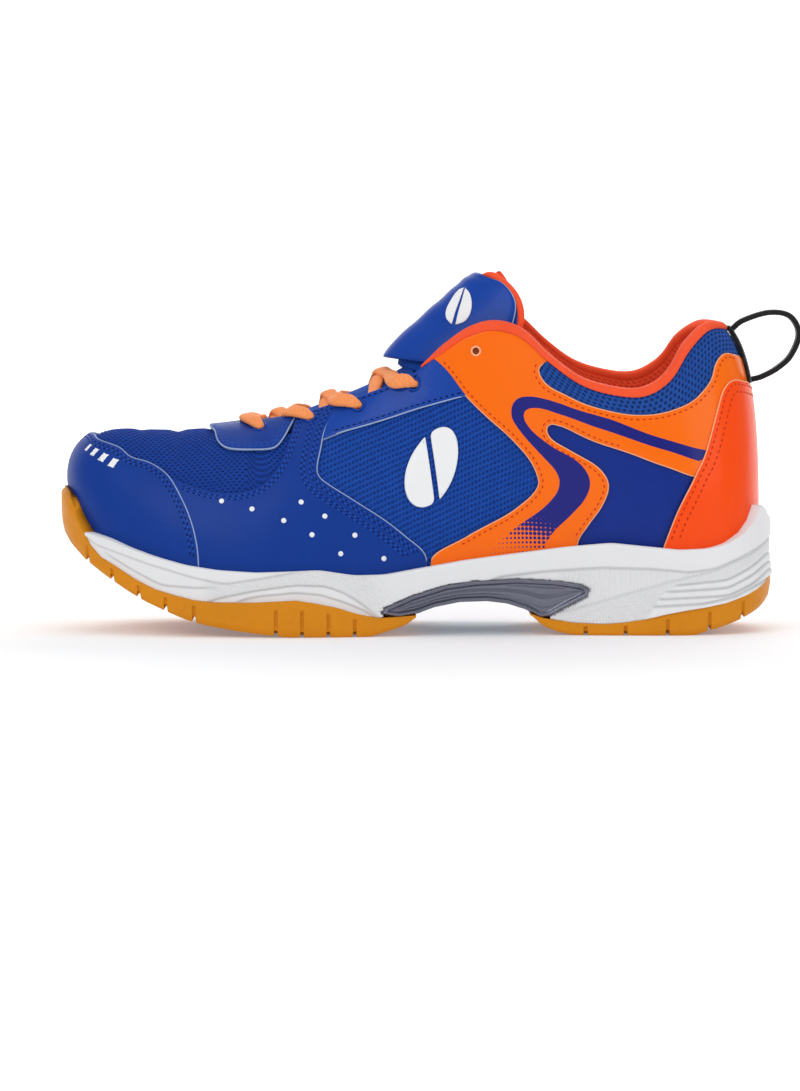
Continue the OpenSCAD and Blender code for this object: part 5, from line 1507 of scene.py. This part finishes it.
details = []
for side, tag in ((LATERAL, "lateral"), (MEDIAL, "medial")):
    details += [small_discs("vent_dots_" + tag, DOTS, side, 1.05, 0.62, 0.28, [white_ink])]
    for i, (k, v) in enumerate(TOE_BARS):
        bar = [(k - 0.17, v - 0.032), (k + 0.1, v - 0.042), (k + 0.24, v + 0.026), (k - 0.03, v + 0.036)]
        panel(f"toe_bar_{tag}_{i + 1}", [[a, b] for a, b in zip(bar, bar[1:] + bar[:1])],
                                    [white_ink, white_ink], side, base=0.55, thick=0.55, spacing=0.8, soft=0.2)
    blue_lines, orange_lines = [], []
    half_toe = [q for q in toe_edge if q[0] >= 0]
    toe_lines = [offset_stroke(half_toe, side, gap) for gap in (-1.6, -3.0)]
    toe_lines = [q[(q[:, 1] > 0.1) & (q[:, 1] < 0.975)] for q in toe_lines]
    # painted shade: dark beads along the toe seams
    details += [beads("toe_seam_shade_beads_" + tag, toe_lines, side, 0.95, 0.3, [seam_shadow])]
    details += [stitches("toe_seams_" + tag, toe_lines, side, 1.2, [thread_blue], width=0.72)]
    for gap in (-1.5, -2.8):
        blue_lines.append(offset_stroke(vamp_low[1:], side, gap))
    for gap in (-1.6, -2.9, -5.2, -6.5):
        blue_lines.append(offset_stroke(saddle_back, side, gap))
    for gap in (1.5,):
        blue_lines.append(offset_stroke(EYESTAY_LOW, side, gap))
    half_throat = throat_low
    for gap in (1.5, 2.8):
        blue_lines.append(offset_stroke(half_throat, side, gap))
    blue_lines = [q[(q[:, 1] > 0.1) & (q[:, 1] < 0.975)] for q in blue_lines]
    top_line = offset_stroke([(9.3, 0.985), (10.2, 0.985), (11.2, 0.985), (12.3, 0.985)], side, -1.6)
    blue_lines = [q for q in blue_lines + [top_line] if len(q) > 6]
    # painted shade: dark beads along the blue seams
    details += [beads("blue_seam_shade_beads_" + tag, blue_lines, side, 0.45, 0.3, [seam_shadow])]
    details += [stitches("blue_seams_" + tag, blue_lines, side, 0.72, [thread_blue], width=0.72)]
    toe_rim = offset_stroke(half_toe, side, 0.0)
    details += [beads("toe_cut_edge_" + tag, [toe_rim[(toe_rim[:, 1] > 0.06) & (toe_rim[:, 1] < 0.985)]], side, 0.6, 0.34,
          [pale_edge])]
    pale = [offset_stroke(q, side, 0.0) for q in (saddle_back, throat_low, EYESTAY_LOW)]
    details += [beads("cut_edges_" + tag, [q[(q[:, 1] > 0.06) & (q[:, 1] < 0.985)] for q in pale], side, 0.15, 0.34, [pale_edge])]
    pale = [offset_stroke(q, side, 0.0) for q in (orange_front, window_edge, collar_edge)]
    details += [beads("orange_edges_" + tag, [q[(q[:, 1] > 0.06) & (q[:, 1] < 0.97) & (q[:, 0] < 24.4)] for q in pale], side, 0.2,
          0.3, [orange_edge])]
    orange_lines = [offset_stroke(orange_front, side, 1.6), offset_stroke(window_edge[:14], side, 1.6),
                    offset_stroke(collar_edge[1:], side, 1.6)]
    orange_lines = [q[(q[:, 1] > 0.1) & (q[:, 1] < 0.965) & (q[:, 0] < 24.4)] for q in orange_lines]
    orange_lines = [q for q in orange_lines if len(q) > 6]
    # stitches on the orange film are coloured as painted shade of their holes
    details += [stitches("orange_seams_" + tag, orange_lines, side, 0.72, [shaded_orange_stitch], width=0.66)]
    heel_lines = [offset_stroke(heel_edge, side, g) for g in (-1.6, -4.6)]
    heel_lines = [q[(q[:, 1] > 0.1) & (q[:, 0] < 24.9)] for q in heel_lines]
    heel_rim = offset_stroke(heel_edge, side, 0.0)
    details += [beads("heel_cut_edge_" + tag, [heel_rim[(heel_rim[:, 1] > 0.06) & (heel_rim[:, 0] < 24.9)]], side, 1.2,
                      0.34, [orange_edge])]
    # heel stitches are coloured as painted shade of their holes
    details += [stitches("heel_seams_" + tag, heel_lines, side, 1.78, [shaded_orange_stitch], width=0.7)]
    details += [rims("eyelet_rims_" + tag, EYELETS[1:4], side, 2.35, 0.42, 0.72, [blue_smooth])]
    details += [rims("top_eyelet_rim_" + tag, EYELETS[4:], side, 1.75, 0.4, 0.72, [orange_edge])]
details += [rims("front_eyelet_rims_lateral", EYELETS[:1], LATERAL, 2.35, 0.42, 0.8, [blue_smooth])]
details += [rims("front_eyelet_rims_medial", EYELETS[:1], MEDIAL, 2.35, 0.42, 0.8, [blue_smooth])]

# ---------------------------------------------------------------- hide the model's parts that the pieces above are drawn in place of
for obj, nodes in (
    (vamp, ["vamp_mesh"]), (collar_cloth, ["collar_mesh"]), (vamp_inside, ["vamp_lining"]),
    (quarter_inside, ["quarter_lining"]), (toe_stiff, ["toe_puff"]), (heel_stiff, ["heel_counter"]),
    (collar_pad, ["collar_foam"]), (toe_cap, ["toe_cap"]), (throat, ["throat_overlay"]), (heel_cover, ["heel_cover"]),
    (outsole_fore, ["outsole_forefoot"]), (outsole_back, ["outsole_heel"]), (midsole, ["midsole"]),
    (shank, ["arch_shank"]), (board, ["lasting_board"]), (liner, ["insole"]), (roll, ["collar_roll"]),
    (tongue, ["tongue"]), (tongue_inside, ["tongue_lining"]), (tongue_free, ["tongue_top"]),
    (tongue_free_in, ["tongue_top_lining"]), (tongue_patch, ["tongue_pad"]), (lace, ["lace"]),
    (over["tip_lateral"], ["lace_tips"]), (loop, ["heel_loop"]), (anchor, ["heel_loop_anchor"]),
):
    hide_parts(*nodes)
for tag in ("lateral", "medial"):
    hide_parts("quarter_mesh_" + tag)
    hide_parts("rear_panel_" + tag)
    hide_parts("forefoot_overlay_" + tag)
    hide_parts("eyestay_" + tag)
    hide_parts("side_overlay_" + tag, "ankle_band_" + tag)
    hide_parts("side_emblem_" + tag)

# ---------------------------------------------------------------- floor, light and camera
sweep = [(-3.6, 0), (0.5, 0), (1.7, 0), (2.3, 0.04), (2.75, 0.25), (3.0, 0.7), (3.1, 1.3), (3.14, 3.4)]
sweep = smooth_stroke(sweep, 6)
floor_mesh = bpy.data.meshes.new("floor")
floor_mesh.from_pydata([(x, y, z) for y, z in sweep for x in (-4, 4)], [], grid_faces(len(sweep), 2))
floor_mesh.polygons.foreach_set("use_smooth", np.ones(len(floor_mesh.polygons), bool))
# the floor's own light is a little blue, against the colour that the gum sole throws on it
for name, colour, tint, glow in (("studio_floor", srgb(240, 237, 234), (0.72, 0.86, 1, 1), 0.2),
                                 ("backdrop", srgb(228, 228, 228), (1, 1, 1, 1), 0.75)):
    paper = Finish(name, colour, 0.85, vary=0.0, shine=0.1)
    paper.bsdf.inputs["Emission Color"].default_value = tint
    paper.bsdf.inputs["Emission Strength"].default_value = glow
    floor_mesh.materials.append(paper.done())
floor_mesh.polygons.foreach_set("material_index", (sweep[1:, 0] > 0.9).astype(np.int32))
floor = bpy.data.objects.new("floor", floor_mesh)
bpy.context.scene.collection.objects.link(floor)


def soft_light(name, where, target, size, watts, colour=(1, 1, 1)):
    lamp = bpy.data.lights.new(name, "AREA")
    lamp.shape, lamp.size, lamp.size_y = "RECTANGLE", size[0], size[1]
    lamp.energy, lamp.color = watts, colour
    obj = bpy.data.objects.new(name, lamp)
    obj.location = where
    obj.rotation_euler = (Vector(target) - Vector(where)).to_track_quat("-Z", "Y").to_euler()
    bpy.context.scene.collection.objects.link(obj)


soft_light("top_light", (0, 0.1, 1.5), (0, 0, 0), (1.6, 1.2), 5.5)
soft_light("key_light", (-0.7, -1.3, 0.95), (0, 0, 0.05), (0.8, 0.8), 6.5)
soft_light("fill_light", (1.0, -1.0, 0.45), (0, 0, 0.05), (0.7, 0.7), 2.5)
soft_light("back_light", (0.3, 1.3, 0.8), (0, 0, 0.05), (1.0, 0.6), 5)
world = bpy.data.worlds.new("studio")
world.use_nodes = True
world.node_tree.nodes["Background"].inputs["Color"].default_value = (1, 1, 1, 1)
world.node_tree.nodes["Background"].inputs["Strength"].default_value = 0.52
bpy.context.scene.world = world
bpy.context.scene.view_settings.view_transform = "Standard"

lens = bpy.data.cameras.new("camera")
lens.sensor_fit, lens.sensor_width, lens.lens = "HORIZONTAL", 36, 201
lens.clip_start, lens.clip_end = 0.05, 20
camera = bpy.data.objects.new("camera", lens)
lift, away = math.radians(3.5), 1.8
aim = Vector((-0.0125, -0.03, 0.0357))
camera.location = aim + away * Vector((0, -math.cos(lift), math.sin(lift)))
camera.rotation_euler = (aim - camera.location).to_track_quat("-Z", "Y").to_euler()
bpy.context.scene.collection.objects.link(camera)
bpy.context.scene.camera = camera
